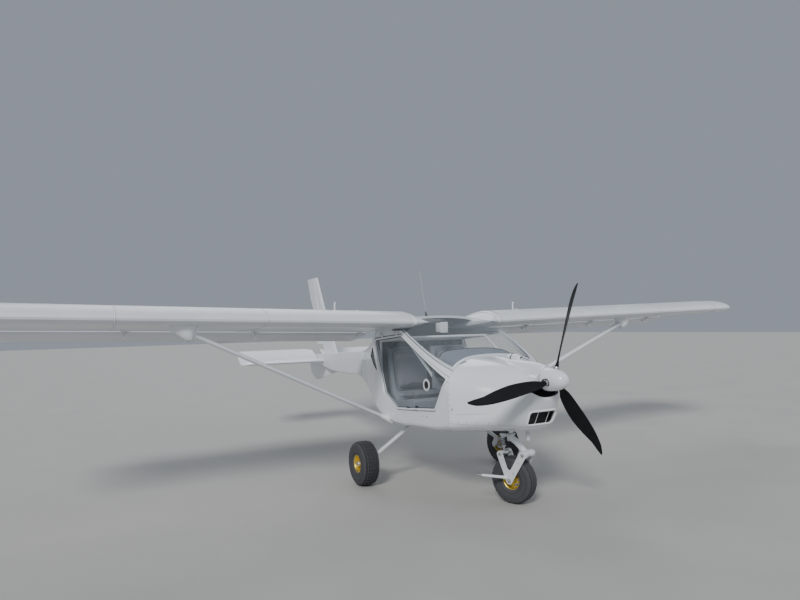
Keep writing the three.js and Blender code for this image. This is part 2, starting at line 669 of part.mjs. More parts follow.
function buildTyre({ radius, width, bead }) {
  const half = width / 2;
  // A flat of the tread rests on the ground
  const depth = radius / Math.cos(Math.PI / WHEEL_STEPS) - BEAD;
  // Columns: share of the depth from bead to tread, share of the half width
  const side = [[0.2, 0.9], [0.45, 1], [0.72, 0.98], [0.9, 0.86], [0.97, 0.68], [1, 0.4]];
  const port = side.map(([rise, wide]) => [BEAD + rise * depth, wide * half]);
  port.unshift([BEAD, bead], [BEAD + FLANGE + 1, bead]);
  const starboard = port.map(([r, x]) => [r, -x]).reverse();
  return wheelPart([...port, ...starboard], WHEEL_STEPS);
}

function buildRim({ bead }) {
  const flange = BEAD + FLANGE;
  const seat = BEAD - SEAT;
  const inner = bead + SEAT;
  const outer = inner + 6;
  const half = [[AXLE + RUNNING, outer - 4], [30, outer - 4], [30, 9], [68, 9], [68, outer],
    [flange, outer], [flange, inner], [seat, inner]];
  const other = half.map(([r, x]) => [r, -x]).reverse();
  return wheelPart([...half, ...other], WHEEL_STEPS);
}

// Main gear: a flat spring leg, its knuckle and the stub axle
function buildMainLeg() {
  const { x, s, radius, bead } = MAIN_WHEEL;
  const knee = [764, 2031, 300];
  const leg = beam([300, 1978, 622], knee, 74, 24);
  const fork = beam([760, 2027, 312], [771, s, radius], 60, 24);
  const knuckle = bar([757, s, radius], [783, s, radius], 34, 34, 24);
  const axle = bar([769, s, radius], [x + bead + 18, s, radius], AXLE, AXLE, 20);
  return cut(join(leg, fork, knuckle, axle), bodyEnvelope);
}

// Nose gear, drawn straight ahead and then turned about the steering axis
const FORK = { front: [665, 448], rear: [895, 432], plate: 76, thick: 8, arm: 30, rearArm: 24 };
const STEER_TOP = 612;
const turned = (shape) => shape.translate([0, -STEER_STATION, 0]).rotate([0, 0, STEER_TURN])
  .translate([0, STEER_STATION, 0]);

function capsule([s0, z0], [s1, z1], radius, x0, x1) {
  const length = Math.hypot(s1 - s0, z1 - z0);
  const [ns, nz] = [(-(z1 - z0) / length) * radius, ((s1 - s0) / length) * radius];
  const bodyPlate = sidePlate([[s0 + ns, z0 + nz], [s0 - ns, z0 - nz], [s1 - ns, z1 - nz],
    [s1 + ns, z1 + nz]], x0, x1);
  const ends = [[s0, z0], [s1, z1]].map(([s, z]) => bar([x0, s, z], [x1, s, z], radius));
  return join(bodyPlate, ends);
}

function buildNoseFork() {
  const { s, radius } = NOSE_WHEEL;
  const { front, rear, plate, thick, arm, rearArm } = FORK;
  const axle = [s, radius];
  const plates = [-1, 1].flatMap((side) => {
    const edges = [side * plate, side * (plate + thick)];
    const [x0, x1] = [Math.min(...edges), Math.max(...edges)];
    return [capsule(front, axle, arm, x0, x1), capsule(rear, axle, rearArm, x0, x1)];
  });
  const reach = plate + thick;
  const pins = [[axle, AXLE], [front, 14], [rear, 14]].map(([[ps, pz], r]) =>
    bar([-reach - 4, ps, pz], [reach + 4, ps, pz], r, r, 20));
  const pegs = [-1, 1].map((side) => bar([side * plate, 834, 235], [side * 275, 1024, 271], 13, 10));
  return join(...plates, pins, pegs);
}

function buildNoseArm() {
  const [s, z] = FORK.front;
  const head = bar([0, STEER_STATION, 548], [0, STEER_STATION, STEER_TOP - SEAT], 34, 34, 24);
  const tube = beam([0, STEER_STATION + 20, 584], [0, s + 4, z + 2], 58, 42, [1, 0, 0]);
  const eye = bar([-70, s, z], [70, s, z], 30, 30, 24);
  const lug = box([-14, STEER_STATION, 578], [14, 935, 604]);
  const pin = bar([-120, s, z], [120, s, z], 14 + RUNNING, 14 + RUNNING, 20);
  return cut(join(head, tube, eye, lug), pin);
}

function buildNoseShock() {
  const [s, z] = FORK.rear;
  const eye = bar([-30, s, z], [30, s, z], FORK.rearArm, FORK.rearArm, 20);
  const lower = bar([0, s, z], [0, 905, 505], 15, 15, 20);
  const upper = bar([0, 903, 490], [0, 914, 560], 24, 24, 20);
  const top = bar([0, 910, 540], [0, 917, 578 - SEAT], 12, 12, 16);
  const above = box([-60, 800, 578 - SEAT], [60, 1000, 640]);
  const pin = bar([-120, s, z], [120, s, z], 14 + RUNNING, 14 + RUNNING, 20);
  return cut(join(eye, lower, upper, top), pin, above);
}

function buildNosePost() {
  const tube = bar([0, STEER_STATION, STEER_TOP], [0, STEER_STATION, 770], 20, 20, 20);
  const plate = box([-30, STEER_STATION + 8, 672], [30, FIREWALL, 770]);
  return join(tube, plate);
}

// Tail
function slabRing(place, lead, trail, thick, thickTrail) {
  const NOSE = 6;
  const reach = (trail - lead) * 0.38;
  const points = [];
  for (let i = 0; i <= NOSE; i += 1) {
    const angle = Math.PI / 2 + (i / NOSE) * Math.PI;
    points.push([lead + reach + reach * Math.cos(angle), (thick / 2) * Math.sin(angle)]);
  }
  points.push([trail, -thickTrail / 2], [trail, thickTrail / 2]);
  return points.map(([s, v]) => place(s, v));
}

function buildStabilizer() {
  const trail = ELEVATOR_AXIS - TAIL_NOSE - CLEAR;
  // Columns: distance from the centre line, step aft of the leading edge, thickness, drop
  const rows = [[0, 0, 56, 0], [1200, 12, 52, 0], [1290, 40, 40, 6], [TAIL_HALF_SPAN, 110, 22, 18]];
  const half = loft(rows.map(([x, step, thick, drop]) => slabRing((s, v) =>
    vec(x, s, STABILIZER_HEIGHT - drop + v), STABILIZER_LEAD + step, trail, thick,
    Math.min(thick, 32))));
  const axis = [ELEVATOR_AXIS, STABILIZER_HEIGHT];
  const nose = bar([-1400, ...axis], [1400, ...axis], TAIL_NOSE + RUNNING, TAIL_NOSE + RUNNING, 32);
  const lugs = [180, 680, 1180].map((x) => box([x - 12, trail - 30, STABILIZER_HEIGHT - 10],
    [x + 12, ELEVATOR_AXIS, STABILIZER_HEIGHT + 10]));
  const port = cut(join(half, lugs), nose);
  return join(port, mirrored(port));
}

function buildElevator() {
  const axisAt = (x) => [x, ELEVATOR_AXIS, STABILIZER_HEIGHT];
  const inner = hingedRing(axisAt(ELEVATOR_INNER), TAIL_NOSE, ELEVATOR_CHORD - 40, -ELEVATOR_UP);
  const knee = hingedRing(axisAt(220), TAIL_NOSE, ELEVATOR_CHORD, -ELEVATOR_UP);
  const outer = hingedRing(axisAt(1240), TAIL_NOSE, ELEVATOR_CHORD, -ELEVATOR_UP);
  const tip = hingedRing(axisAt(TAIL_HALF_SPAN - 5), TAIL_NOSE * 0.7, ELEVATOR_CHORD * 0.8, -ELEVATOR_UP);
  const half = loft([inner, knee, outer, tip]);
  const tube = bar(axisAt(-ELEVATOR_INNER - 10), axisAt(ELEVATOR_INNER + 10), 13);
  return join(half, mirrored(half), tube);
}

function buildBoom(stabilizerPocket) {
  const axis = [ELEVATOR_AXIS, STABILIZER_HEIGHT];
  const tubeHole = bar([-200, ...axis], [200, ...axis], 13 + RUNNING);
  return cut(boomSkin, stabilizerPocket, tubeHole);
}

const boomEnvelope = body(BOOM_ROWS, BOOM_STATIONS, -SEAT, 0, 0);

// A point on the rudder's hinge line at a height
const rudderAxis = (z) => {
  const share = (z - RUDDER_FOOT[1]) / (RUDDER_HEAD[1] - RUDDER_FOOT[1]);
  return [0, RUDDER_FOOT[0] + share * (RUDDER_HEAD[0] - RUDDER_FOOT[0]), z];
};

function buildFin() {
  const gap = TAIL_NOSE + CLEAR;
  // Columns: height, leading edge, thickness
  const rows = [[1120, 4850, 60], [1250, 4940, 58], [1890, 5410, 50], [2380, 5725, 42],
    [HEIGHT, 5765, 38]];
  const blade = loft(rows.map(([z, lead, thick]) => slabRing((s, v) => vec(v, s, z),
    lead, rudderAxis(z)[1] - gap - 2, thick, 32)));
  const foot = sidePlate([[5400, 1110], [5560, 1110], [5560, 1300], [5400, 1300]], -14, 14);
  const round = TAIL_NOSE * Math.cos(Math.atan2(RUDDER_HEAD[0] - RUDDER_FOOT[0],
    RUDDER_HEAD[1] - RUDDER_FOOT[1])) + RUNNING;
  const nose = bar(rudderAxis(1250), rudderAxis(2600), round, round, 32);
  const lugs = [1400, 1860, 2300].map((z) => box([-9, rudderAxis(z)[1] - 60, z - 14],
    [9, rudderAxis(z)[1], z + 14]));
  return cut(join(blade, foot, lugs), nose, boomEnvelope);
}

function buildRudder() {
  // Columns: height, chord behind the hinge line
  const rows = [[1328, 250], [1900, 275], [2080, 330], [HEIGHT, 380]];
  const rings = rows.map(([z, chord]) => {
    const [x, s] = rudderAxis(z);
    return hingedRing([0, 0, 0], TAIL_NOSE, chord, 0).map((p) => vec(x + p.z, s + p.y, z));
  });
  return loft(rings);
}

function buildVentralFin() {
  const outline = [[4840, 1010], [4840, 937], [5590, 783], [5830, 747], [6050, 810], [6170, 1000],
    [6040, 1024], [5640, 1030]];
  return cut(sidePlate(outline, -11, 11, 12), boomEnvelope);
}

// Cabin inside
function buildPanel() {
  const half = 640;
  const arch = frontPlate([[-440, 1100], [440, 1100], [440, 1318], [380, 1350], [150, 1362], [-150, 1362],
    [-380, 1350], [-440, 1318]], 1000, 1400, 14);
  const slope = sidePlate([[1000, 1170], [1130, 1170], [1255, 1228], [1400, 1325], [1400, 1362],
    [1000, 1288]], -440, 440);
  const hood = arch.intersect(slope);
  const face = frontPlate([[-half, 1010], [half, 1010], [half, 1256], [-half, 1256]], 1262, 1286, 20);
  return join(hood, face).intersect(cabinRoom);
}

function buildSeat() {
  const outline = [[1690, 600], [1700, 900], [1740, 925], [2080, 880], [2130, 940], [2210, 1360],
    [2270, 1380], [2290, 1340], [2200, 840], [2100, 600]];
  return sidePlate(outline, 40, 500, 14).intersect(cabinRoom);
}

function buildStick() {
  const low = 640;
  const post = bar([0, 1560, low], [0, 1500, 960], 12);
  const yoke = bar([-130, 1500, 960], [130, 1500, 960], 10);
  const grips = [-130, 130].map((x) => bar([x, 1502, 945], [x, 1490, 1075], 15));
  const foot = box([-40, 1510, low - 60], [40, 1610, low + 6]);
  return join(post, yoke, grips, foot).intersect(cabinRoom);
}

function buildCabinTubes() {
  const r = 14;
  const half = 540;
  const wall = 620;
  const crossbar = bar([-half, 1850, 1478], [half, 1850, 1478], r);
  const rearBar = bar([-half, 2330, 1440], [half, 2330, 1440], r);
  const floorBar = bar([-wall, 2330, 800], [wall, 2330, 800], r);
  const sides = [-1, 1].flatMap((side) => [
    bar([side * half, 1850, 1478], [side * half, 2330, 1440], r),
    bar([side * half, 2330, 800], [side * half, 2330, 1440], r),
    bar([side * 500, 1850, 1484], [side * 500, 1330, 1131], r),
  ]);
  return join(crossbar, rearBar, floorBar, sides).intersect(cabinRoom);
}

function buildAntenna() {
  const base = bar([0, 2230, 1690], [0, 2262, 1760], 12, 5, 10);
  return cut(join(base, bar([0, 2250, 1730], [0, 2380, 2226], 4, 3, 8)), bodyEnvelope);
}

function buildPod() {
  const blob = new THREE.SphereGeometry(1, 20, 12).scale(46, 112, 44).translate(26, 780, 1288);
  return cut(solid(blob), bodyEnvelope);
}

// Assembly
const wing = buildWing();
const wings = SIDES.map(([, side]) => onSide(wingPocket, side));
const cowl = buildCowl();
const cabin = buildCabin(wings);
const stabilizer = buildStabilizer();
const stabilizerPocket = join(stabilizer, box([-400, STABILIZER_LEAD - 40, STABILIZER_HEIGHT - 30],
  [400, ELEVATOR_AXIS - TAIL_NOSE, STABILIZER_HEIGHT + 30]));

addPart('cowl_upper', cowl.upper, FINISH.white);
addPart('cowl_lower', cowl.lower, FINISH.white);
addPart('cowl_pod', buildPod(), FINISH.white);
addPart('engine_block', buildEngine(), FINISH.engine);
addPart('exhaust_pipe', bar([0, 590, 588], [0, 590, ENGINE.low[2] - SEAT], 16), FINISH.steel);
addPart('firewall', buildFirewall(), FINISH.steel);
addPart('belly_shell', cabin.belly, FINISH.white);
addPart('cabin_frame', cabin.frame, FINISH.white);
addPart('windscreen', buildWindscreen(wings), FINISH.glass);
addPart('tail_boom', buildBoom(stabilizerPocket), FINISH.white);
addPart('fin', buildFin(), FINISH.white);
addPart('rudder', buildRudder(), FINISH.white);
addPart('ventral_fin', buildVentralFin(), FINISH.white);
addPart('stabilizer', stabilizer, FINISH.white);
addPart('elevator', buildElevator(), FINISH.white);
addPart('instrument_panel', buildPanel(), FINISH.panel);
addPart('control_stick', buildStick(), FINISH.black);
addPart('cabin_tubes', buildCabinTubes(), FINISH.white);
addPart('antenna', buildAntenna(), FINISH.steel);

const door = buildDoor();
const strut = buildStrut();
const flaperon = buildFlaperon();
const window = buildQuarterWindow();
const leg = buildMainLeg();
const seat = buildSeat();
const mainTyre = buildTyre(MAIN_WHEEL);
const rim = buildRim(MAIN_WHEEL);
for (const [name, side] of SIDES) {
  addPart(`wing_${name}`, onSide(wing, side), FINISH.wing);
  addPart(`flaperon_${name}`, onSide(flaperon, side), FINISH.wing);
  addPart(`strut_${name}`, onSide(strut, side), FINISH.white);
  addPart(`door_frame_${name}`, onSide(door.frame, side), FINISH.white);
  addPart(`door_glass_${name}`, onSide(door.glass, side), FINISH.glass);
  addPart(`quarter_window_${name}`, onSide(window, side), FINISH.glass);
  addPart(`seat_${name}`, onSide(seat, side), FINISH.seat);
  addPart(`main_leg_${name}`, onSide(leg, side), FINISH.white);
  const centre = [side * MAIN_WHEEL.x, MAIN_WHEEL.s, MAIN_WHEEL.radius];
  addPart(`main_tyre_${name}`, mainTyre, FINISH.tyre, centre);
  addPart(`main_rim_${name}`, rim, FINISH.gold, centre);
}

const trail = NOSE_WHEEL.s - STEER_STATION;
const steer = radians(STEER_TURN);
const noseCentre = [-trail * Math.sin(steer), STEER_STATION + trail * Math.cos(steer), NOSE_WHEEL.radius];
addPart('nose_post', buildNosePost(), FINISH.steel);
addPart('nose_arm', turned(buildNoseArm()), FINISH.white);
addPart('nose_fork', turned(buildNoseFork()), FINISH.white);
addPart('nose_shock', turned(buildNoseShock()), FINISH.steel);
for (const [name, build, finish] of [['nose_tyre', buildTyre, FINISH.tyre], ['nose_rim', buildRim,
  FINISH.gold]]) {
  addPart(name, build(NOSE_WHEEL).rotate([0, 0, STEER_TURN]), finish, noseCentre);
}

const hubCentre = [0, HUB_STATION, HUB_HEIGHT];
addPart('propeller', buildPropeller(), FINISH.black, hubCentre);
addPart('spinner', buildSpinner(), FINISH.white, hubCentre);

export default aircraft;
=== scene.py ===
"""Looks of a light two-seat aircraft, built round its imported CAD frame.

Every shape is drawn in millimetres, X to port, station (Y) aft and Z up, and is brought into the
frame's metres when its piece is finished.
"""
import logging
import math
from dataclasses import dataclass
from enum import Enum
from typing import Callable, Sequence

import bmesh
import bpy
from mathutils import Matrix, Vector


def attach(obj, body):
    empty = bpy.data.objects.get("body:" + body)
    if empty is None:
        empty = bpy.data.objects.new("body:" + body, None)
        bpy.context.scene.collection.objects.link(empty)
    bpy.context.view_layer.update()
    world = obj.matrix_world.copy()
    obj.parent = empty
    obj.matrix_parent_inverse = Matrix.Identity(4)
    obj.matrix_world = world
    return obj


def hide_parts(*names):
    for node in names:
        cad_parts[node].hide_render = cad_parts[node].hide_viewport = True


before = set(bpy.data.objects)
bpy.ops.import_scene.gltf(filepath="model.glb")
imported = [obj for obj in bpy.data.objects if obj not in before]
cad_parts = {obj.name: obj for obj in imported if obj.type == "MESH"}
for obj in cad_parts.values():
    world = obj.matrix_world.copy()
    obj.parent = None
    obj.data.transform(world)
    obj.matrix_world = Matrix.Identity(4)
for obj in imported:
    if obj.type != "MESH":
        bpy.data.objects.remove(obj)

LOG = logging.getLogger("aircraft")
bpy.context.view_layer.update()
CENTRE = 3169.0
HULL_MIDDLE = 1120.0
BEYOND = 800.0
SPLIT_GAP = 0.6
MERGE = 0.02
TO_FRAME = Matrix.Scale(0.001, 4) @ Matrix.Translation((0.0, -CENTRE, 0.0))
SIDES = (("left", 1.0), ("right", -1.0))
Point = Sequence[float]
At = Callable[[float, float], Point]


class Pattern(Enum):
    """What the fine structure of a surface looks like."""

    GLOSS = "gloss"
    SKIN = "skin"
    BRUSHED = "brushed"
    CAST = "cast"
    RUBBER = "rubber"
    COMPOSITE = "composite"
    GLASS = "glass"
    PLASTIC = "plastic"
    CLOTH = "cloth"
    FLOOR = "floor"


@dataclass(frozen=True)
class Grain:
    """Scales and strengths of one pattern.

    Args: stretch is the scale per metre along X, Y and Z, detail the noise detail, tint how far
    the colour strays, bump the height in metres, rough how far the roughness strays.
    """

    stretch: tuple[float, float, float]
    detail: float
    tint: float
    bump: float
    rough: float


GRAINS = {
    Pattern.GLOSS: Grain((2.2, 2.2, 2.2), 6.0, 0.035, 0.00006, 0.05),
    Pattern.SKIN: Grain((3.0, 9.0, 3.0), 5.0, 0.05, 0.0002, 0.08),
    Pattern.BRUSHED: Grain((14.0, 240.0, 240.0), 5.0, 0.12, 0.00012, 0.16),
    Pattern.CAST: Grain((60.0, 60.0, 60.0), 8.0, 0.22, 0.0006, 0.2),
    Pattern.RUBBER: Grain((26.0, 26.0, 26.0), 9.0, 0.45, 0.0005, 0.16),
    Pattern.COMPOSITE: Grain((18.0, 18.0, 18.0), 6.0, 0.3, 0.0001, 0.1),
    Pattern.GLASS: Grain((4.0, 4.0, 4.0), 4.0, 0.06, 0.00002, 0.02),
    Pattern.PLASTIC: Grain((90.0, 90.0, 90.0), 6.0, 0.14, 0.0002, 0.12),
    Pattern.CLOTH: Grain((30.0, 30.0, 30.0), 8.0, 0.22, 0.0005, 0.05),
    Pattern.FLOOR: Grain((1.1, 1.1, 1.1), 8.0, 0.05, 0.002, 0.08),
}


@dataclass(frozen=True)
class Finish:
    """A paint, metal, rubber, cloth or glass with its own fine structure."""

    name: str
    colour: tuple[float, float, float]
    pattern: Pattern
    roughness: float
    slot: str = ""
    metal: float = 0.0
    coat: float = 0.0
    alpha: float = 1.0
    sheen: float = 0.0
    shine: float = 0.5

    def material(self) -> bpy.types.Material:
        """Return the node material, made once.

        Returns: the material, all on object coordinates.
        """
        known = bpy.data.materials.get(self.name)
        if known:
            return known
        grain = GRAINS[self.pattern]
        made = bpy.data.materials.new(self.name)
        made.use_nodes = True
        tree = made.node_tree
        place = tree.nodes.new("ShaderNodeTexCoord").outputs["Object"]
        mapping = add_node(tree, "Mapping", {"Vector": place, "Scale": grain.stretch})
        noise = add_node(tree, "TexNoise", {"Vector": mapping.outputs["Vector"], "Scale": 1.0,
                                            "Detail": grain.detail}).outputs["Fac"]
        woven = self.pattern in (Pattern.CLOTH, Pattern.SKIN)
        ramp = add_node(tree, "ValToRGB", {"Fac": noise})
        low, high = ramp.color_ramp.elements
        low.position, high.position = 0.3, 0.7
        low.color = tuple(max(c * (1 - grain.tint), 0.0) for c in self.colour) + (1.0,)
        high.color = tuple(min(c * (1 + grain.tint * 0.6), 1.0) for c in self.colour) + (1.0,)
        patches = add_node(tree, "MapRange", {
            "Value": noise, "From Min": 0.25, "From Max": 0.75,
            "To Min": max(self.roughness - grain.rough, 0.02),
            "To Max": min(self.roughness + grain.rough, 1.0)})
        height = self._weave(tree, place, noise) if woven else noise
        bump = add_node(tree, "Bump", {"Height": height, "Strength": 1.0, "Distance": grain.bump})
        feed(tree, tree.nodes["Principled BSDF"], {
            "Base Color": ramp.outputs["Color"], "Roughness": patches.outputs["Result"],
            "Normal": bump.outputs["Normal"], "Metallic": self.metal, "Coat Weight": self.coat,
            "Coat Roughness": 0.04, "Sheen Weight": self.sheen, "Specular IOR Level": self.shine,
            "Alpha": self.alpha})
        made.diffuse_color = self.colour + (self.alpha,)
        return made

    def _weave(self, tree: bpy.types.NodeTree, place: bpy.types.NodeSocket,
               noise: bpy.types.NodeSocket) -> bpy.types.NodeSocket:
        """Cross two wave textures for threads.

        Args: tree is the material's tree, place its coordinates, noise the uneven part.
        Returns: the socket that holds the height.
        """
        pitch = 260.0 if self.pattern is Pattern.CLOTH else 420.0
        waves = []
        for direction in ("X", "Z"):
            wave = add_node(tree, "TexWave", {"Vector": place, "Scale": pitch, "Distortion": 0.4})
            wave.bands_direction = direction
            waves.append(wave.outputs["Fac"])
        cross = add_node(tree, "Math", {0: waves[0], 1: waves[1]})
        cross.operation = "MULTIPLY"
        whole = add_node(tree, "Math", {0: cross.outputs[0], 1: noise})
        whole.operation = "ADD"
        return whole.outputs[0]


WHITE = Finish("gloss_white", (0.80, 0.835, 0.88), Pattern.GLOSS, 0.2, "white_paint", coat=0.6)
BODY_WHITE = Finish("satin_white", (0.79, 0.82, 0.86), Pattern.SKIN, 0.34, "body_skin", coat=0.2)
WING_WHITE = Finish("wing_white", (0.74, 0.77, 0.81), Pattern.SKIN, 0.36, "wing_skin", coat=0.15)
SEAM = Finish("seam_grey", (0.42, 0.45, 0.5), Pattern.GLOSS, 0.4, "white_paint")
TAPE = Finish("tape_white", (0.86, 0.88, 0.9), Pattern.GLOSS, 0.3, "white_paint")
GASKET = Finish("gasket_black", (0.025, 0.026, 0.03), Pattern.RUBBER, 0.6, "black_grip")
GLAZING = Finish("clear_glazing", (0.55, 0.62, 0.66), Pattern.GLASS, 0.04, "glazing", alpha=0.09)
BLADE = Finish("blade_matte_black", (0.007, 0.007, 0.009), Pattern.COMPOSITE, 0.4, "blade_black",
               shine=0.22)
# A brighter copy of the gloss white: painted highlight on rims and small white parts that catch the
# light.
HIGHLIGHT_WHITE = Finish("white_painted_highlight", (0.93, 0.94, 0.95), Pattern.GLOSS, 0.16, "white_paint", coat=0.6)
# Black for dark parts; in the intake, behind the spinner and in the tyre grooves it is painted
# shade.
DARK = Finish("black_and_painted_shade", (0.02, 0.021, 0.024), Pattern.PLASTIC, 0.7, "black_grip")
STEEL = Finish("brushed_steel", (0.55, 0.56, 0.58), Pattern.BRUSHED, 0.33, "steel_parts", metal=0.9)
ALLOY = Finish("satin_alloy", (0.66, 0.68, 0.71), Pattern.BRUSHED, 0.36, "alloy_sheet", metal=0.75)
PALE_METAL = Finish("painted_alloy", (0.72, 0.74, 0.77), Pattern.GLOSS, 0.3, "alloy_sheet",
                    metal=0.1)
GOLD = Finish("rim_gold", (0.62, 0.43, 0.05), Pattern.GLOSS, 0.34, "rim_gold", metal=0.35)
TYRE = Finish("tyre_rubber", (0.042, 0.042, 0.042), Pattern.RUBBER, 0.7, "tyre_rubber")
ENGINE = Finish("engine_cast", (0.12, 0.125, 0.13), Pattern.CAST, 0.55, "engine_metal", metal=0.4)
PANEL = Finish("panel_grey", (0.10, 0.115, 0.14), Pattern.PLASTIC, 0.6, "panel_grey")
HOOD = Finish("hood_blue_grey", (0.17, 0.20, 0.25), Pattern.PLASTIC, 0.75, "panel_grey")
GRIP = Finish("grip_black", (0.03, 0.03, 0.033), Pattern.PLASTIC, 0.6, "black_grip")
SEAT = Finish("seat_cloth", (0.05, 0.055, 0.07), Pattern.CLOTH, 0.9, "seat_cloth", sheen=0.4)
REAR_CLOTH = Finish("rear_cloth", (0.22, 0.24, 0.27), Pattern.CLOTH, 0.9, "seat_cloth", sheen=0.3)
STRAP = Finish("strap_webbing", (0.03, 0.032, 0.036), Pattern.CLOTH, 0.8, "seat_cloth", sheen=0.2)
FLOOR = Finish("studio_floor", (0.46, 0.45, 0.43), Pattern.FLOOR, 0.8)


def lerp(a: float, b: float, share: float) -> float:
    """Return the value at a share of the way from a to b."""
    return a + (b - a) * share


def along(values: Sequence[float], share: float) -> float:
    """Return the value at a share of a list's length, between its entries."""
    place = share * (len(values) - 1)
    index = min(int(place), len(values) - 2)
    return lerp(values[index], values[index + 1], place - index)


def row_at(table: Sequence[Sequence[float]], station: float) -> list[float]:
    """Return a table's row at any station, on a smooth curve through the rows.

    Args: table has its station in the first column; station is where the row is wanted.
    Returns: the row's values.
    """
    index = 0
    while index < len(table) - 2 and station > table[index + 1][0]:
        index += 1
    start, end = table[index], table[index + 1]
    before, after = table[max(index - 1, 0)], table[min(index + 2, len(table) - 1)]
    span = end[0] - start[0]
    t = (station - start[0]) / span
    values = []
    for k, low in enumerate(start):
        slope_in = (end[k] - before[k]) / (end[0] - before[0]) * span
        slope_out = (after[k] - low) / (after[0] - start[0]) * span
        rise = end[k] - low
        values.append(low + t * (slope_in + t * (3 * rise - 2 * slope_in - slope_out
                                                 + t * (slope_in + slope_out - 2 * rise))))
    return values


def feed(tree: bpy.types.NodeTree, node: bpy.types.Node, inputs: dict) -> bpy.types.Node:
    """Set or link a node's inputs.

    Args: tree holds the node; inputs maps an input's name or number to a value or a socket.
    Returns: the node.
    """
    for name, value in inputs.items():
        if isinstance(value, bpy.types.NodeSocket):
            tree.links.new(value, node.inputs[name])
        else:
            node.inputs[name].default_value = value
    return node


def add_node(tree: bpy.types.NodeTree, kind: str, inputs: dict) -> bpy.types.Node:
    """Return a new shader node of a kind with its inputs set or linked."""
    return feed(tree, tree.nodes.new("ShaderNode" + kind), inputs)


def flip(place: Vector, side: float) -> Vector:
    """Return a port point on the side that is asked for."""
    return Vector((place.x * side, place.y, place.z))


def span(side: float, near: float, far: float) -> tuple[float, float]:
    """Return the lower and upper X of a width that is given on the port side."""
    return min(side * near, side * far), max(side * near, side * far)


def power(value: float, exponent: float) -> float:
    """Return a value's power with the value's sign."""
    return math.copysign(abs(value) ** exponent, value)


def arc(centre: Point, radius: float, start: float, end: float, steps: int
        ) -> list[tuple[float, float]]:
    """Return the points of an arc.

    Args: centre and radius; start and end are angles in degrees; steps is the number of parts.
    Returns: the points, both ends included.
    """
    return [(centre[0] + radius * math.cos(math.radians(a)),
             centre[1] + radius * math.sin(math.radians(a))) for a in spread(start, end, steps)]


def round_nose(radius: float) -> list[tuple[float, float]]:
    """Return the half circle ahead of a hinge, from its top round to its bottom."""
    return arc((0, 0), radius, 90, 270, 14)


def tilt(aft: float, rise: float, degrees: float) -> tuple[float, float]:
    """Return a section's point, turned about its hinge by an angle in degrees."""
    c, s = math.cos(math.radians(degrees)), math.sin(math.radians(degrees))
    return aft * c - rise * s, aft * s + rise * c


def eased(corners: Sequence[Point], distance: float, radius: float, straight: int = 8
          ) -> list[tuple[float, float]]:
    """Return corners drawn inwards by a distance and rounded.

    Args: corners and distance; radius is the rounding's, in eight steps; straight is the number
        of points on each side.
    Returns: the outline.
    """
    return rounded(inset_outline(corners, distance), radius, 8, straight)


def flank(side: float) -> Callable[[float, float, float], Vector]:
    """Return what places station, height and depth on one side of the cabin."""
    return lambda s, z, depth: CABIN.side(s, z, side, depth)


def inset_outline(points: Sequence[Point], distance: float) -> list[tuple[float, float]]:
    """Draw a closed outline inwards by a distance, edge by edge.

    Args: points run round the outline; distance is positive inwards.
    Returns: the new corners, as many as before.
    """
    count = len(points)
    area = sum(points[i][0] * points[(i + 1) % count][1] - points[(i + 1) % count][0] * points[i][1]
               for i in range(count))
    turn = math.copysign(1.0, area)
    edges = []
    for i in range(count):
        (x, y), (nx, ny) = points[i], points[(i + 1) % count]
        length = math.hypot(nx - x, ny - y)
        dx, dy = (nx - x) / length, (ny - y) / length
        edges.append((x - dy * distance * turn, y + dx * distance * turn, dx, dy))
    corners = []
    for i, (ex, ey, dx, dy) in enumerate(edges):
        lx, ly, ldx, ldy = edges[i - 1]
        cross = ldx * dy - ldy * dx
        t = ((ex - lx) * dy - (ey - ly) * dx) / cross
        corners.append((lx + ldx * t, ly + ldy * t))
    return corners


def rounded(points: Sequence[Point], radius: float, arc: int = 6, straight: int = 5
            ) -> list[tuple[float, float]]:
    """Round a closed outline's corners and divide its edges.

    Args: points are the corners; radius is cut off each edge; arc and straight are the steps.
    Returns: the points, arc + straight of them for each corner.
    """
    count = len(points)
    starts, ends = [], []
    for i, corner in enumerate(points):
        here = Vector(corner)
        for other, store in ((points[i - 1], starts), (points[(i + 1) % count], ends)):
            way = Vector(other) - here
            store.append(here + way.normalized() * min(radius, way.length * 0.45))
    outline = []
    for i, corner in enumerate(points):
        here = Vector(corner)
        for k in range(arc):
            t = k / arc
            outline.append(starts[i] * (1 - t) ** 2 + here * 2 * t * (1 - t) + ends[i] * t * t)
        following = starts[(i + 1) % count]
        outline.extend(ends[i].lerp(following, k / straight) for k in range(straight))
    return [(p.x, p.y) for p in outline]


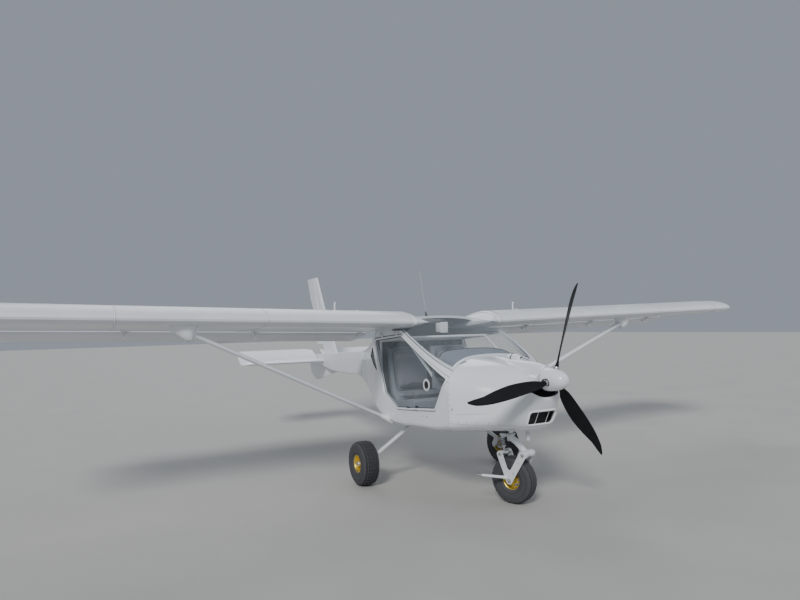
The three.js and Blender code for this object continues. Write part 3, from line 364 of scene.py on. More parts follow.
class Shape:
    """A mesh in the making, in millimetres."""

    def __init__(self) -> None:
        """Start with nothing."""
        self.bm = bmesh.new()

    def skin(self, across: int, length: int, at: At) -> "Shape":
        """Stretch a grid over a surface.

        Args: across and length are its steps; at gives a point for two shares from 0 to 1.
        Returns: itself.
        """
        grid = bmesh.ops.create_grid(self.bm, x_segments=across, y_segments=length, size=1.0)
        for vert in grid["verts"]:
            u, v = (vert.co.x + 1) / 2, (vert.co.y + 1) / 2
            vert.co = Vector(at(u, v))
        return self

    def rod(self, start: Point, end: Point, radius: float, far: float | None = None,
            sides: int = 20) -> "Shape":
        """Add a round bar between two points.

        Args: start and end are its ends, radius and far its radii, sides its facets.
        Returns: itself.
        """
        a, b = Vector(start), Vector(end)
        turn = (b - a).to_track_quat("Z", "Y").to_matrix().to_4x4()
        bmesh.ops.create_cone(self.bm, cap_ends=True, segments=sides, radius1=radius,
                              radius2=radius if far is None else far, depth=(b - a).length,
                              matrix=Matrix.Translation((a + b) / 2) @ turn)
        return self

    def block(self, low: Point, high: Point, bevel: float = 0.0,
              turn: Matrix | None = None) -> "Shape":
        """Add a box with eased edges.

        Args: low and high are its corners, bevel its edge radius, turn a matrix about its middle.
        Returns: itself.
        """
        a, b = Vector(low), Vector(high)
        size = Matrix.Diagonal((*(b - a), 1.0))
        place = Matrix.Translation((a + b) / 2) @ (turn or Matrix())
        cube = bmesh.ops.create_cube(self.bm, size=1.0, matrix=place @ size)
        if bevel:
            edges = {edge for vert in cube["verts"] for edge in vert.link_edges}
            bmesh.ops.bevel(self.bm, geom=list(edges), offset=bevel, segments=2, profile=0.5,
                            affect="EDGES", material=-1)
        return self

    def lathe(self, profile: Sequence[Point], centre: Point, axis: Point = (1, 0, 0),
              steps: int = 48) -> "Shape":
        """Turn a profile round an axis.

        Args: profile holds (radius, distance along the axis); centre and axis place it.
        Returns: itself.
        """
        turn = Vector((0, 0, 1)).rotation_difference(Vector(axis)).to_matrix().to_4x4()
        place = Matrix.Translation(centre) @ turn
        verts = [self.bm.verts.new(place @ Vector((r, 0, h))) for r, h in profile]
        edges = [self.bm.edges.new(pair) for pair in zip(verts, verts[1:])]
        bmesh.ops.spin(self.bm, geom=verts + edges, cent=centre, axis=Vector(axis).normalized(),
                       angle=2 * math.pi, steps=steps, use_merge=True)
        return self

    def tube(self, points: Sequence[Point], radius: float, sides: int = 10,
             closed: bool = False) -> "Shape":
        """Sweep a round section along a path.

        Args: points are the path, radius its thickness, sides its facets, closed joins the ends.
        Returns: itself.
        """
        path = [Vector(p) for p in points]
        count = len(path)
        rings = []
        normal = None
        for i, here in enumerate(path):
            before = path[i - 1] if i or closed else here
            after = path[(i + 1) % count] if i < count - 1 or closed else here
            way = (after - before).normalized()
            if normal is None:
                normal = way.orthogonal().normalized()
            normal = (normal - way * normal.dot(way)).normalized()
            rings.append((here, normal, way.cross(normal)))

        def at(u: float, v: float) -> Vector:
            """Return the point at a share round the section and along the path."""
            here, side, up = rings[round(v * (count if closed else count - 1)) % count]
            angle = 2 * math.pi * u
            return here + (side * math.cos(angle) + up * math.sin(angle)) * radius

        self.skin(sides, count if closed else count - 1, at)
        if not closed:
            self.close()
        return self

    def close(self) -> "Shape":
        """Merge seams and fill open ends, and return itself."""
        bmesh.ops.remove_doubles(self.bm, verts=self.bm.verts, dist=MERGE)
        rims = [edge for edge in self.bm.edges if edge.is_boundary]
        bmesh.ops.holes_fill(self.bm, edges=rims, sides=0)
        return self

    def plate(self, outline: Sequence[Point], place: Callable[[float, float, float], Point],
              low: float, high: float, bevel: float = 0.0) -> "Shape":
        """Extrude a flat outline.

        Args: outline holds its points; place turns them and a depth into a point; low and high
            are the depths; bevel eases both rims.
        Returns: itself.
        """
        verts = [self.bm.verts.new(place(a, b, low)) for a, b in outline]
        face = self.bm.faces.new(verts)
        before = set(self.bm.verts)
        bmesh.ops.extrude_face_region(self.bm, geom=[face], use_keep_orig=True)
        shift = Vector(place(*outline[0], high)) - Vector(place(*outline[0], low))
        fresh = [vert for vert in self.bm.verts if vert not in before]
        bmesh.ops.translate(self.bm, verts=fresh, vec=shift)
        if bevel:
            rims = [edge for edge in self.bm.edges
                    if set(edge.verts) <= set(verts) or set(edge.verts) <= set(fresh)]
            bmesh.ops.bevel(self.bm, geom=rims, offset=bevel, segments=2, profile=0.5,
                            affect="EDGES", material=-1)
        return self

    def add(self, other: "Shape") -> "Shape":
        """Take over another shape's faces.

        Args: other is the shape, which is used up.
        Returns: itself.
        """
        mesh = bpy.data.meshes.new("part")
        other.bm.to_mesh(mesh)
        other.bm.free()
        self.bm.from_mesh(mesh)
        bpy.data.meshes.remove(mesh)
        return self

    def carve(self, *tools: "Shape", join: bool = False) -> "Shape":
        """Cut closed shapes out of this closed shape, or join them to it.

        Args: tools are the other shapes, which are used up; join adds instead of cutting.
        Returns: itself.
        """
        def as_object(shape: "Shape", label: str) -> bpy.types.Object:
            """Return a shape as a closed mesh object."""
            bmesh.ops.remove_doubles(shape.bm, verts=shape.bm.verts, dist=MERGE)
            bmesh.ops.recalc_face_normals(shape.bm, faces=shape.bm.faces)
            mesh = bpy.data.meshes.new(label)
            shape.bm.to_mesh(mesh)
            shape.bm.free()
            made = bpy.data.objects.new(label, mesh)
            bpy.context.scene.collection.objects.link(made)
            return made

        blank = as_object(self, "blank")
        others = [as_object(tool, "tool") for tool in tools]
        for other in others:
            cut = blank.modifiers.new("cut", "BOOLEAN")
            cut.operation = "UNION" if join else "DIFFERENCE"
            cut.solver = "EXACT"
            cut.object = other
        depsgraph = bpy.context.evaluated_depsgraph_get()
        self.bm = bmesh.new()
        self.bm.from_mesh(blank.evaluated_get(depsgraph).to_mesh())
        for used in (blank, *others):
            mesh = used.data
            bpy.data.objects.remove(used)
            bpy.data.meshes.remove(mesh)
        return self

    def piece(self, name: str, finish: Finish, body: str = "airframe", node: str = "",
              smooth: float = 32.0, bevel: float = 0.0, wall: float = 0.0) -> bpy.types.Object:
        """Finish the mesh as a piece of the aircraft.

        Args: name, finish, body and node say what it is, what it rides on and which CAD node it
            stands for; smooth is the sharpest angle that stays smooth; bevel and wall are in
            millimetres.
        Returns: the object, at the origin.
        """
        bm = self.bm
        bmesh.ops.remove_doubles(bm, verts=bm.verts, dist=MERGE)
        bmesh.ops.dissolve_degenerate(bm, edges=bm.edges, dist=0.01)
        bmesh.ops.recalc_face_normals(bm, faces=bm.faces)
        bm.transform(TO_FRAME)
        mesh = bpy.data.meshes.new(name)
        bm.to_mesh(mesh)
        bm.free()
        mesh.shade_smooth()
        mesh.set_sharp_from_angle(angle=math.radians(smooth))
        made = bpy.data.objects.new(name, mesh)
        bpy.context.scene.collection.objects.link(made)
        mesh.materials.append(finish.material())
        if wall:
            solid = made.modifiers.new("wall", "SOLIDIFY")
            solid.thickness = wall / 1000
            solid.offset = -1.0
            solid.use_even_offset = True
        if bevel:
            rounding = made.modifiers.new("eased", "BEVEL")
            rounding.width = bevel / 1000
            rounding.segments = 2
            rounding.limit_method = "ANGLE"
            rounding.angle_limit = math.radians(35)
            rounding.harden_normals = True
        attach(made, body)
        if node:
            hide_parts(node)
        LOG.info("%s: %d faces on %s", name, len(mesh.polygons), body)
        return made

    def stud(self, place: Point, out: Point, deep: float, high: float, radius: float,
             far: float | None = None, sides: int = 14) -> "Shape":
        """Add a short bar that stands on a surface.

        Args: place is on the surface and out its direction; deep and high are how far it goes in
            and stands out; radius, far and sides are as for a rod.
        Returns: itself.
        """
        here, way = Vector(place), Vector(out)
        return self.rod(here - way * deep, here + way * high, radius, far, sides)


def in_side(s: float, z: float, x: float) -> Vector:
    """Place an outline drawn in side view: station, height, then X as depth."""
    return Vector((x, s, z))


def in_front(x: float, z: float, s: float) -> Vector:
    """Place an outline drawn in front view: X, height, then station as depth."""
    return Vector((x, s, z))


def in_plan(x: float, s: float, z: float) -> Vector:
    """Place an outline drawn in plan view: X, station, then height as depth."""
    return Vector((x, s, z))


@dataclass
class Hull:
    """The body's skin: rounded sections along a table of stations.

    Columns of rows: station, how far the sides lead the centre line, half width, bottom, top of
    the lower rounding, foot of the upper rounding, top, roundness below and above.
    """

    rows: Sequence[Sequence[float]]
    creases: Sequence[Sequence[float]] = ()
    lower: float = 0.42
    upper: float = 0.58
    crease_turn: float = 0.82

    def point(self, station: float, turn: float, inset: float = 0.0) -> Vector:
        """Return a point of the skin.

        Args: station; turn runs from 0 at the keel to 1 at the crest, negative to starboard;
            inset is the depth below the skin.
        Returns: the point.
        """
        s, lead, width, bottom, low, high, top, below, above = row_at(self.rows, station)
        side, share = math.copysign(1.0, turn), min(abs(turn), 1.0)
        half = width - inset
        if share <= self.lower:
            angle = share / self.lower * math.pi / 2
            x = half * math.sin(angle) ** (2 / below)
            z = low - (low - bottom - inset) * max(math.cos(angle), 0.0) ** (2 / below)
        elif share < self.upper:
            x = half
            z = lerp(low, high, (share - self.lower) / (self.upper - self.lower))
        elif self.creases:
            _, edge, rise = row_at(self.creases, station)
            crest = top - inset
            ridge = lerp(high, crest, rise)
            if share <= self.crease_turn:
                angle = (share - self.upper) / (self.crease_turn - self.upper) * math.pi / 2
                x = edge + (half - edge) * max(math.cos(angle), 0.0) ** (2 / above)
                z = high + (ridge - high) * math.sin(angle) ** (2 / above)
            else:
                t = (share - self.crease_turn) / (1 - self.crease_turn)
                x = edge * (1 - t)
                z = lerp(ridge, crest, 1 - (1 - t) ** 2)
        else:
            angle = (share - self.upper) / (1 - self.upper) * math.pi / 2
            x = half * max(math.cos(angle), 0.0) ** (2 / above)
            z = high + (top - inset - high) * math.sin(angle) ** (2 / above)
        return Vector((side * x, s - lead * (x / width) ** 2, z))

    def side(self, y: float, z: float, side: float, inset: float = 0.0) -> Vector:
        """Return the skin's point that is seen in side view at a place.

        Args: y and z are the place; side is 1 for port and -1 for starboard; inset is the depth.
        Returns: the point.
        """
        station = y
        x = 0.0
        for _ in range(6):
            _, lead, width, bottom, low, high, top, below, above = row_at(self.rows, station)
            half = width - inset
            if z < low:
                share = min((low - z) / max(low - bottom - inset, 1.0), 1.0)
                x = half * (1 - share ** below) ** (1 / below)
            elif z <= high:
                x = half
            else:
                share = min((z - high) / max(top - inset - high, 1.0), 1.0)
                x = half * (1 - share ** above) ** (1 / above)
            station = y + lead * (x / width) ** 2
        return Vector((side * x, y, z))

    def shell(self, stations: Sequence[float], around: int, wall: float,
              shift: float = 0.0) -> Shape:
        """Return a closed shell between the skin and a depth.

        Args: stations are its rings; around is the steps round; wall is the thickness; shift
            moves the first ring aft.
        Returns: the shape, whose ends are open rims with their thickness.
        """
        path = [(s, 0.0) for s in stations] + [(s, wall) for s in reversed(stations)]
        path.append(path[0])

        def at(u: float, v: float) -> Vector:
            """Return the point at a share along and round."""
            station, inset = path[round(u * (len(path) - 1))]
            place = self.point(station, v * 2 - 1, inset)
            place.y += shift if station == stations[0] else 0.0
            return place

        return Shape().skin(len(path) - 1, around, at)

    def ring(self, station: float, depth: float, steps: int) -> list[Vector]:
        """Return the skin's ring at a station, its last point left out."""
        return [self.point(station, t, depth) for t in spread(-1, 1, steps)][:-1]

    def rivet(self, shape: Shape, station: float, turn: float, high: float,
              radius: float = 3.2) -> None:
        """Add a rivet's head to a shape, square to the skin.

        Args: shape takes it; station and turn place it; high is how far it stands out; radius is
            its foot's.
        """
        place = self.point(station, turn)
        out = (place - Vector((0, station, HULL_MIDDLE))).normalized()
        shape.stud(place, out, 1.5, high, radius, 2.2, 8)


def spread(start: float, end: float, steps: int) -> list[float]:
    """Return evenly spaced values, both ends included."""
    return [lerp(start, end, i / steps) for i in range(steps + 1)]


def ring_frame(outer: Sequence[Point], inner: Sequence[Point],
               section: Sequence[tuple[float, float]],
               surface: Callable[[float, float, float], Point]) -> Shape:
    """Sweep a closed section round an outline on a surface.

    Args: outer and inner are outlines of equal length; section holds (share from the outer to the
        inner outline, depth); surface places station, height and depth.
    Returns: the closed ring.
    """
    count, turns = len(outer), len(section)

    def at(u: float, v: float) -> Point:
        """Return the point at a share round the outline and round the section."""
        i, k = round(u * count) % count, round(v * turns) % turns
        share, depth = section[k]
        return surface(lerp(outer[i][0], inner[i][0], share), lerp(outer[i][1], inner[i][1], share),
                       depth)

    return Shape().skin(count, turns, at)


def pane(outline: Sequence[Point], depths: tuple[float, float],
         surface: Callable[[float, float, float], Point], rings: int = 5) -> Shape:
    """Fill an outline on a surface with a sheet that has a thickness.

    Args: outline is its rim; depths are its outer and inner depth; surface places a point; rings
        is the steps from the rim to the middle.
    Returns: the closed sheet.
    """
    count = len(outline)
    cs = sum(p[0] for p in outline) / count
    cz = sum(p[1] for p in outline) / count
    path = [(k / rings, depths[0]) for k in range(rings + 1)]
    path += [(k / rings, depths[1]) for k in range(rings, -1, -1)]

    def at(u: float, v: float) -> Point:
        """Return the point at a share round the rim and through the sheet."""
        s, z = outline[round(u * count) % count]
        reach, depth = path[round(v * (len(path) - 1))]
        return surface(lerp(cs, s, reach), lerp(cz, z, reach), depth)

    return Shape().skin(count, len(path) - 1, at)


TAIL_JOINT = (3270, 0, 350, 952, 982, 1275, 1308, 3.4, 2.8)
CABIN = Hull((
    (1080, 145, 592, 625, 760, 960, 1300, 2.9, 2.6),
    (1300, 110, 598, 607, 705, 1170, 1458, 3.2, 2.6),
    (1577, 50, 600, 592, 680, 1400, 1645, 3.5, 2.6),
    (1755, 0, 600, 585, 655, 1530, 1688, 3.5, 2.5),
    (1900, 0, 600, 582, 645, 1522, 1700, 3.5, 2.5),
    (2178, 0, 600, 615, 680, 1500, 1703, 3.5, 2.5),
    (2423, 0, 572, 690, 755, 1468, 1690, 3.5, 2.4),
    (2700, 0, 490, 773, 835, 1340, 1575, 3.4, 2.3),
    (3000, 0, 405, 865, 915, 1290, 1410, 3.4, 2.4),
    TAIL_JOINT,
))
COWL = Hull((
    (325, 0, 125, 965, 1050, 1100, 1243, 2.2, 1.9),
    (350, 3, 138, 905, 985, 1040, 1249, 2.3, 1.9),
    (400, 8, 160, 815, 905, 960, 1261, 2.4, 1.9),
    (440, 14, 190, 742, 870, 905, 1266, 2.4, 1.9),
    (500, 24, 237, 694, 860, 902, 1270, 2.4, 1.9),
    (650, 55, 345, 668, 845, 912, 1279, 2.5, 1.95),
    (870, 105, 492, 645, 800, 936, 1291, 2.7, 2.3),
    (1080, 145, 592, 625, 760, 960, 1300, 2.9, 2.6),
), creases=((325, 76, 0.6), (440, 72, 0.73), (650, 58, 0.86), (870, 32, 0.95), (1080, 1, 1.0)))
BOOM = Hull((
    TAIL_JOINT,
    (3390, 0, 334, 978, 1005, 1269, 1302, 3.5, 3),
    (4000, 0, 255, 955, 985, 1238, 1266, 3.5, 3),
    (4820, 0, 150, 948, 978, 1188, 1212, 3.5, 3),
    (5300, 0, 92, 985, 1010, 1160, 1183, 3.3, 2.8),
    (5820, 0, 40, 1010, 1030, 1135, 1155, 3, 2.6),
))
COWL_STATIONS = (325, 330, 338, 350, 364, 380, 395, 410, 425, 440, 458, 480, 510, 550, 600, 650,
                 700, 755, 810, 870, 940, 1010, 1079.7)
CABIN_STATIONS = (1080, 1135, 1190, 1245, 1300, 1370, 1440, 1510, 1577, 1640, 1700, 1755, 1820,
                  1900, 1970, 2040, 2110, 2178, 2240, 2300, 2360, 2423, 2490, 2560, 2630, 2700,
                  2780, 2860, 2940, 3000, 3090, 3180, 3269.7)
BOOM_STATIONS = (3270, 3330, 3390, 3480, 3600, 3800, 4000, 4200, 4400, 4620, 4820, 4940, 5060,
                 5180, 5300, 5430, 5560, 5690, 5819)
DOOR = ((945, 1131), (1136, 820), (1873, 750), (2146, 888), (2423, 1471), (1755, 1525))
DOOR_LEAF = ((945, 1131), (1136, 820), (1873, 750), (2146, 888), (2410, 1470), (1755, 1525))
QUARTER = ((2540, 1363), (2366, 1138), (2686, 1261))
DOOR_GAP = 5.0
DOOR_RAIL = 24.0
SCREEN_REAR = 1950.0
SCREEN_OFFSET = 40.0
SCREEN_SLOPE = (DOOR[5][1] - DOOR[0][1]) / (DOOR[5][0] - DOOR[0][0])
SCREEN_LENGTH = math.hypot(1, SCREEN_SLOPE)
SCREEN_HEAD = (DOOR[5][0] - SCREEN_SLOPE / SCREEN_LENGTH * SCREEN_OFFSET,
               DOOR[5][1] + SCREEN_OFFSET / SCREEN_LENGTH)


@dataclass
class Cowl:
    """The engine's cowl with its nose opening, chin intake, seams and small fittings."""

    wall: float = 8.0
    hub: float = 1136.0
    shaft: float = 70.0
    opening: tuple[float, float, float] = (1062.0, 160.0, 77.0)
    split: float = 745.0
    intake: Sequence[Point] = ((-132, 756), (132, 756), (136, 860), (-136, 860))
    bars: Sequence[float] = (-58.0, 58.0)
    front: float = 325.0
    post: float = 824.0
    exhaust: float = 590.0

    def build(self) -> None:
        """Make every piece of the cowl."""
        self.shells()
        self.lips()
        self.seams()
        self.fittings()

    def shells(self) -> None:
        """Make the upper and lower shells from one skin, and the face between nose and spinner."""
        for upper in (True, False):
            tools = [Shape().plate(rounded(self.intake, 26), in_front, 300, 520)]
            if upper:
                tools.append(Shape().block((-BEYOND, 200, 300), (BEYOND, 1200, self.split)))
                tools += self.nose_tools(300)
            else:
                tools.append(Shape().block((-BEYOND, 200, self.split - SPLIT_GAP),
                                           (BEYOND, 1200, 1500)))
                tools.append(Shape().rod((0, self.post, 500), (0, self.post, 720), 40,
                                         sides=40))
                tools.append(Shape().rod((0, self.exhaust, 500), (0, self.exhaust, 740), 26,
                                         sides=32))
            name, node = (("cowl_top_shell", "cowl_upper") if upper
                          else ("cowl_bottom_shell", "cowl_lower"))
            COWL.shell(COWL_STATIONS, 120, self.wall).carve(*tools).piece(
                name, WHITE, node=node, smooth=26)
        rim = [(p.x, p.z) for p in COWL.ring(self.front, 0.6, 120)]
        Shape().plate(rim, in_front, self.front + 0.4, 333).carve(*self.nose_tools(315)).piece(
            "cowl_front_face", WHITE)

    def nose_tools(self, front: float) -> list[Shape]:
        """Return the tools for the oval opening and the shaft's hole.

        Args: front is the station at which both begin.
        Returns: the two shapes.
        """
        height, wide, tall = self.opening
        oval = [(wide * c, height + tall * s) for c, s in arc((0, 0), 1, 0, 360, 72)[:-1]]
        return [Shape().plate(oval, in_front, front, 410),
                Shape().rod((0, front, self.hub), (0, 345, self.hub), self.shaft, sides=64)]

    def surface(self, x: float, z: float, depth: float) -> Vector:
        """Return the front skin's point that is seen in front view at a place.

        Args: x and z are the place; depth is the distance behind the skin.
        Returns: the point.
        """
        near, far = self.front, 520.0
        for _ in range(18):
            middle = (near + far) / 2
            _, _, width, bottom, low, high, top, below, above = row_at(COWL.rows, middle)
            bend = below if z < low else above
            rise = (low - z) / (low - bottom) if z < low else max(z - high, 0) / (top - high)
            inside = (abs(x) / width) ** bend + rise ** bend
            near, far = (near, middle) if inside < 1 else (middle, far)
        _, lead, width, *_ = row_at(COWL.rows, near)
        return Vector((x, near - lead * (x / width) ** 2 + depth, z))

    def lips(self) -> None:
        """Make the intake's rolled lip in the brighter white for painted highlight, its bars, and
        the duct and its closing sheet in black for painted shade inside the intake.
        """
        mouth = rounded(self.intake, 26, 8, 6)
        section = ((0, 3), (0.08, -4), (0.3, -9), (0.6, -10), (0.88, -5), (1.0, 4), (1.0, 14),
                   (0.5, 12))
        # The lip is the brighter white: painted highlight along its roll.
        ring_frame(eased(self.intake, -18, 38, 6), mouth, section, self.surface).piece(
            "intake_lip", HIGHLIGHT_WHITE, smooth=60)
        bars, fins = Shape(), Shape()
        for x in self.bars:
            bars.tube([self.surface(x, z, 4.0) for z in spread(755, 861, 8)], 2.4)
        bars.piece("intake_bars", PALE_METAL, smooth=60)

        def duct(x: float, z: float, depth: float) -> Vector:
            """Place a point of the duct: its mouth on the skin, its end on one station."""
            return self.surface(x, z, depth) if depth < 50 else Vector((x, 350 + depth, z))

        # The duct is black: painted shade inside the intake.
        ring_frame(mouth, eased(self.intake, 3, 22, 6), ((0, 14), (0, 120), (1, 120), (1, 14)),
                   duct).piece("intake_duct", DARK)
        # A black sheet that closes the duct: painted shade.
        Shape().plate(mouth, in_front, 476, 479).piece("intake_shade_sheet", DARK)
        for z in spread(764, 852, 8):
            fins.block((-128, 468, z), (128, 476, z + 2.2))
        fins.piece("intake_cooler", ENGINE)

    def seams(self) -> None:
        """Make the joint lines between the cowl's panels and their fasteners."""
        Shape().tube(COWL.ring(1077.5, 1.2, 96), 2.2, 6, closed=True).piece("cowl_rear_seam", SEAM)
        seam, studs = Shape(), Shape()
        for _, side in SIDES:
            seam.tube([COWL.side(s, self.split, side, 0.8) for s in spread(470, 940, 24)], 2.0, 6)
            places = [(s, self.split + 16) for s in spread(520, 920, 6)]
            for s, z in places + [(925, z) for z in spread(800, 1000, 4)]:
                studs.stud(COWL.side(s, z, side), (side, 0, 0), 2, 1.5, 5.5, 4.5)
        seam.piece("cowl_side_seams", SEAM)
        studs.piece("cowl_fasteners", STEEL)

    def fittings(self) -> None:
        """Make the pod on top, the latch and the exhaust's pipe and collar."""
        def pod(u: float, v: float) -> Point:
            """Return a point of the pod's rounded form."""
            angle, rise = 2 * math.pi * u, math.pi * v
            reach = 46 * math.sin(rise) ** 0.9
            return (26 + reach * math.cos(angle), 780 - 112 * math.cos(rise),
                    1284 + reach * math.sin(angle))

        Shape().skin(32, 24, pod).piece("cowl_pod_shell", WHITE, node="cowl_pod", smooth=60)
        waist = ((40, -7), (46.6, -7), (46.6, 7), (40, 7), (40, -7))
        mouth = ((0, 0), (15, 0), (17, 3), (17, 12), (0, 12))
        pipe = ((16, 2), (16, 200), (13, 200), (13, 2), (16, 2))
        collar = ((17, 0), (24, 0), (25, 3), (25, 9), (24, 12), (17, 12), (17, 0))
        for name, finish, profile, centre, axis, steps, node in (
                ("cowl_pod_waist", DARK, waist, (26, 776, 1284), (0, 1, 0), 40, ""),
                ("cowl_pod_mouth", DARK, mouth, (26, 671, 1290), (0, 1, 0), 28, ""),
                ("exhaust_tail_pipe", PALE_METAL, pipe, (0, self.exhaust, 588), (0, 0, 1), 32,
                 "exhaust_pipe"),
                ("exhaust_collar", ALLOY, collar, (0, self.exhaust, 640), (0, 0, 1), 32, "")):
            Shape().lathe(profile, centre, axis, steps).piece(name, finish, node=node, smooth=40)
        place = COWL.side(905, 868, -1.0)
        latch = Shape().stud(place, (-1, 0, 0), 4, 3, 11, 10, 24)
        latch.block(place - Vector((5, 2, 9)), place + Vector((2, 2, 9)), 0.8)
        latch.piece("cowl_latch", SEAM)
        path = [COWL.side(s, lerp(846, 826, (s - 640) / 230), -1.0, 0.4)
                for s in spread(640, 870, 16)]
        Shape().tube(path, 1.6, 6).piece("cowl_latch_line", SEAM)
        # The chin strip is the brighter white: painted highlight.
        strip = Shape().plate(((496, 699), (760, 646), (760, 642), (496, 695)), in_side, -64, 64)
        for _, side in SIDES:
            strip.plate(((500, 698), (756, 647), (756, 668), (500, 706)), in_side,
                        *span(side, 60, 64))
        hole = Shape().rod((0, self.exhaust, 600), (0, self.exhaust, 720), 21, sides=32)
        strip.carve(hole).piece(
            "chin_strip", HIGHLIGHT_WHITE, bevel=0.8)


@dataclass
class Cabin:
    """The cabin's frame and belly with the openings for doors, windows and windscreen."""

    wall: float = 24.0
    split: float = 745.0

    @staticmethod
    def screen_line(y: float) -> float:
        """Return the height of the windscreen's lower edge at a station, in side view."""
        return DOOR[0][1] + SCREEN_SLOPE * (y - DOOR[0][0]) + SCREEN_OFFSET * SCREEN_LENGTH

    def build(self) -> None:
        """Make every piece of the cabin's skin."""
        self.frame()
        self.windscreen()
        self.quarter_windows()
        self.trim()

    def frame(self) -> None:
        """Make the frame above and the belly below from one shell."""
        ahead, high = 840.0, 1800.0
        screen = ((ahead, self.screen_line(ahead)), SCREEN_HEAD, (SCREEN_REAR, SCREEN_HEAD[1]),
                  (SCREEN_REAR, high), (ahead, high))
        for upper in (True, False):
            if upper:
                tools = [Shape().plate(screen, in_side, -BEYOND, BEYOND)]
                for _, side in SIDES:
                    for outline, radius in ((DOOR, 30), (QUARTER, 24)):
                        tools.append(Shape().plate(rounded(outline, radius), in_side,
                                                   *span(side, 200, 760)))
                tools.append(Shape().block((-BEYOND, 700, 300), (BEYOND, 3400, self.split)))
            else:
                tools = [Shape().block((-BEYOND, 700, self.split - SPLIT_GAP),
                                       (BEYOND, 3400, 1900))]
            name, node = ("cabin_shell", "cabin_frame") if upper else ("belly_pan", "belly_shell")
            CABIN.shell(CABIN_STATIONS, 144, self.wall, 0.3).carve(*tools).piece(
                name, WHITE, node=node, smooth=26)

    def screen_edge(self, station: float) -> float:
        """Return the turn at which a station's ring crosses the windscreen's lower edge.

        Args: station is the ring's.
        Returns: the turn, from the hull's upper rounding to the crest.
        """
        low, high = CABIN.upper, 1.0
        for _ in range(24):
            middle = (low + high) / 2
            place = CABIN.point(station, middle)
            above = place.z > min(self.screen_line(place.y), SCREEN_HEAD[1])
            low, high = (low, middle) if above else (middle, high)
        return low

    def windscreen(self) -> None:
        """Make the bowed windscreen as one curved sheet, with its seals and foot band."""
        steps = 34
        stations = spread(1081, SCREEN_REAR, steps)
        edges = [self.screen_edge(s) for s in stations]

        def across(station: float, edge: float, share: float, depth: float) -> Vector:
            """Return a point from the opening's starboard edge (-1) to its port edge (1)."""
            turn = lerp(1.0, edge, abs(share))
            return CABIN.point(station, math.copysign(turn, share if share else 1.0), depth)

        def sheet(u: float, v: float) -> Vector:
            """Return a point of the sheet at a share across and along."""
            k = round(v * steps)
            return across(stations[k], edges[k], u * 2 - 1, 1.0)

        def band(u: float, v: float) -> Vector:
            """Return a point of the white band at the windscreen's foot."""
            return across(lerp(1076, 1106, v), edges[0], u * 2 - 1, -1.2)

        Shape().skin(64, steps, sheet).piece("windscreen_sheet", GLAZING, node="windscreen",
                                             smooth=60, wall=5.0)
        Shape().skin(64, 3, band).piece("windscreen_foot_band", WHITE, smooth=60, wall=2.0)
        strip = Shape()
        for _, side in SIDES:
            strip.tube([CABIN.point(s, side * (e - 0.004), 0.5) for s, e in zip(stations, edges)],
                       3.6, 8)
        strip.piece("windscreen_side_seal", GASKET, smooth=60)
        foot = [across(1084, edges[0], share, 0.0) for share in spread(-1, 1, 48)]
        Shape().tube(foot, 2.2, 8).piece("windscreen_foot_seal", SEAM, smooth=60)

    def quarter_windows(self) -> None:
        """Make the small rear windows with their seals."""
        for name, side in SIDES:
            pane(eased(QUARTER, 0.4, 24), (1.0, 7.0), flank(side)).piece(
                f"rear_window_{name}", GLAZING, node=f"quarter_window_{name}", smooth=60)
            ring_frame(eased(QUARTER, -9, 30), eased(QUARTER, 5, 20),
                       ((0, 1), (0.1, -2.5), (0.9, -2.5), (1.0, 1), (0.5, 3)), flank(side)).piece(
                f"rear_window_seal_{name}", GASKET, smooth=60)

    def trim(self) -> None:
        """Make the door opening's edge strips, the belly's screws and the tail cone's joints."""
        outer, inner, edge = (eased(DOOR, d, r, 10) for d, r in ((-16, 40), (0.5, 30), (2.5, 29)))
        lip = ((0, 0.6), (0.1, -1.6), (0.9, -1.6), (1.0, 1), (1.0, 22), (0.7, 22), (0.5, 2))
        screws, rivets = Shape(), Shape()
        for name, side in SIDES:
            ring_frame(outer, inner, lip, flank(side)).piece(
                f"door_opening_lip_{name}", WHITE, smooth=50)
            ring_frame(inner, edge, ((0, 4), (1, 4), (1, 23), (0, 23)), flank(side)).piece(
                f"door_opening_seal_{name}", GASKET, smooth=50)
            for s in spread(1420, 2020, 5):
                screws.stud(CABIN.side(s, 712 + 0.02 * (s - 1420), side), (side, 0, 0), 2, 1.6,
                            5, 4, 12)
        screws.piece("belly_fasteners", STEEL)
        joint = Shape().tube(BOOM.ring(3392, 0.8, 96), 2.4, 6, closed=True)
        joint.tube(CABIN.ring(3267, 0.8, 96), 2.0, 6, closed=True).piece("tail_cone_seams", SEAM)
        for hull, station in ((CABIN, 3250), (BOOM, 3410)):
            for t in spread(-0.95, 0.95, 38):
                hull.rivet(rivets, station, t, 1.3)
        rivets.piece("tail_cone_rivets", PALE_METAL)


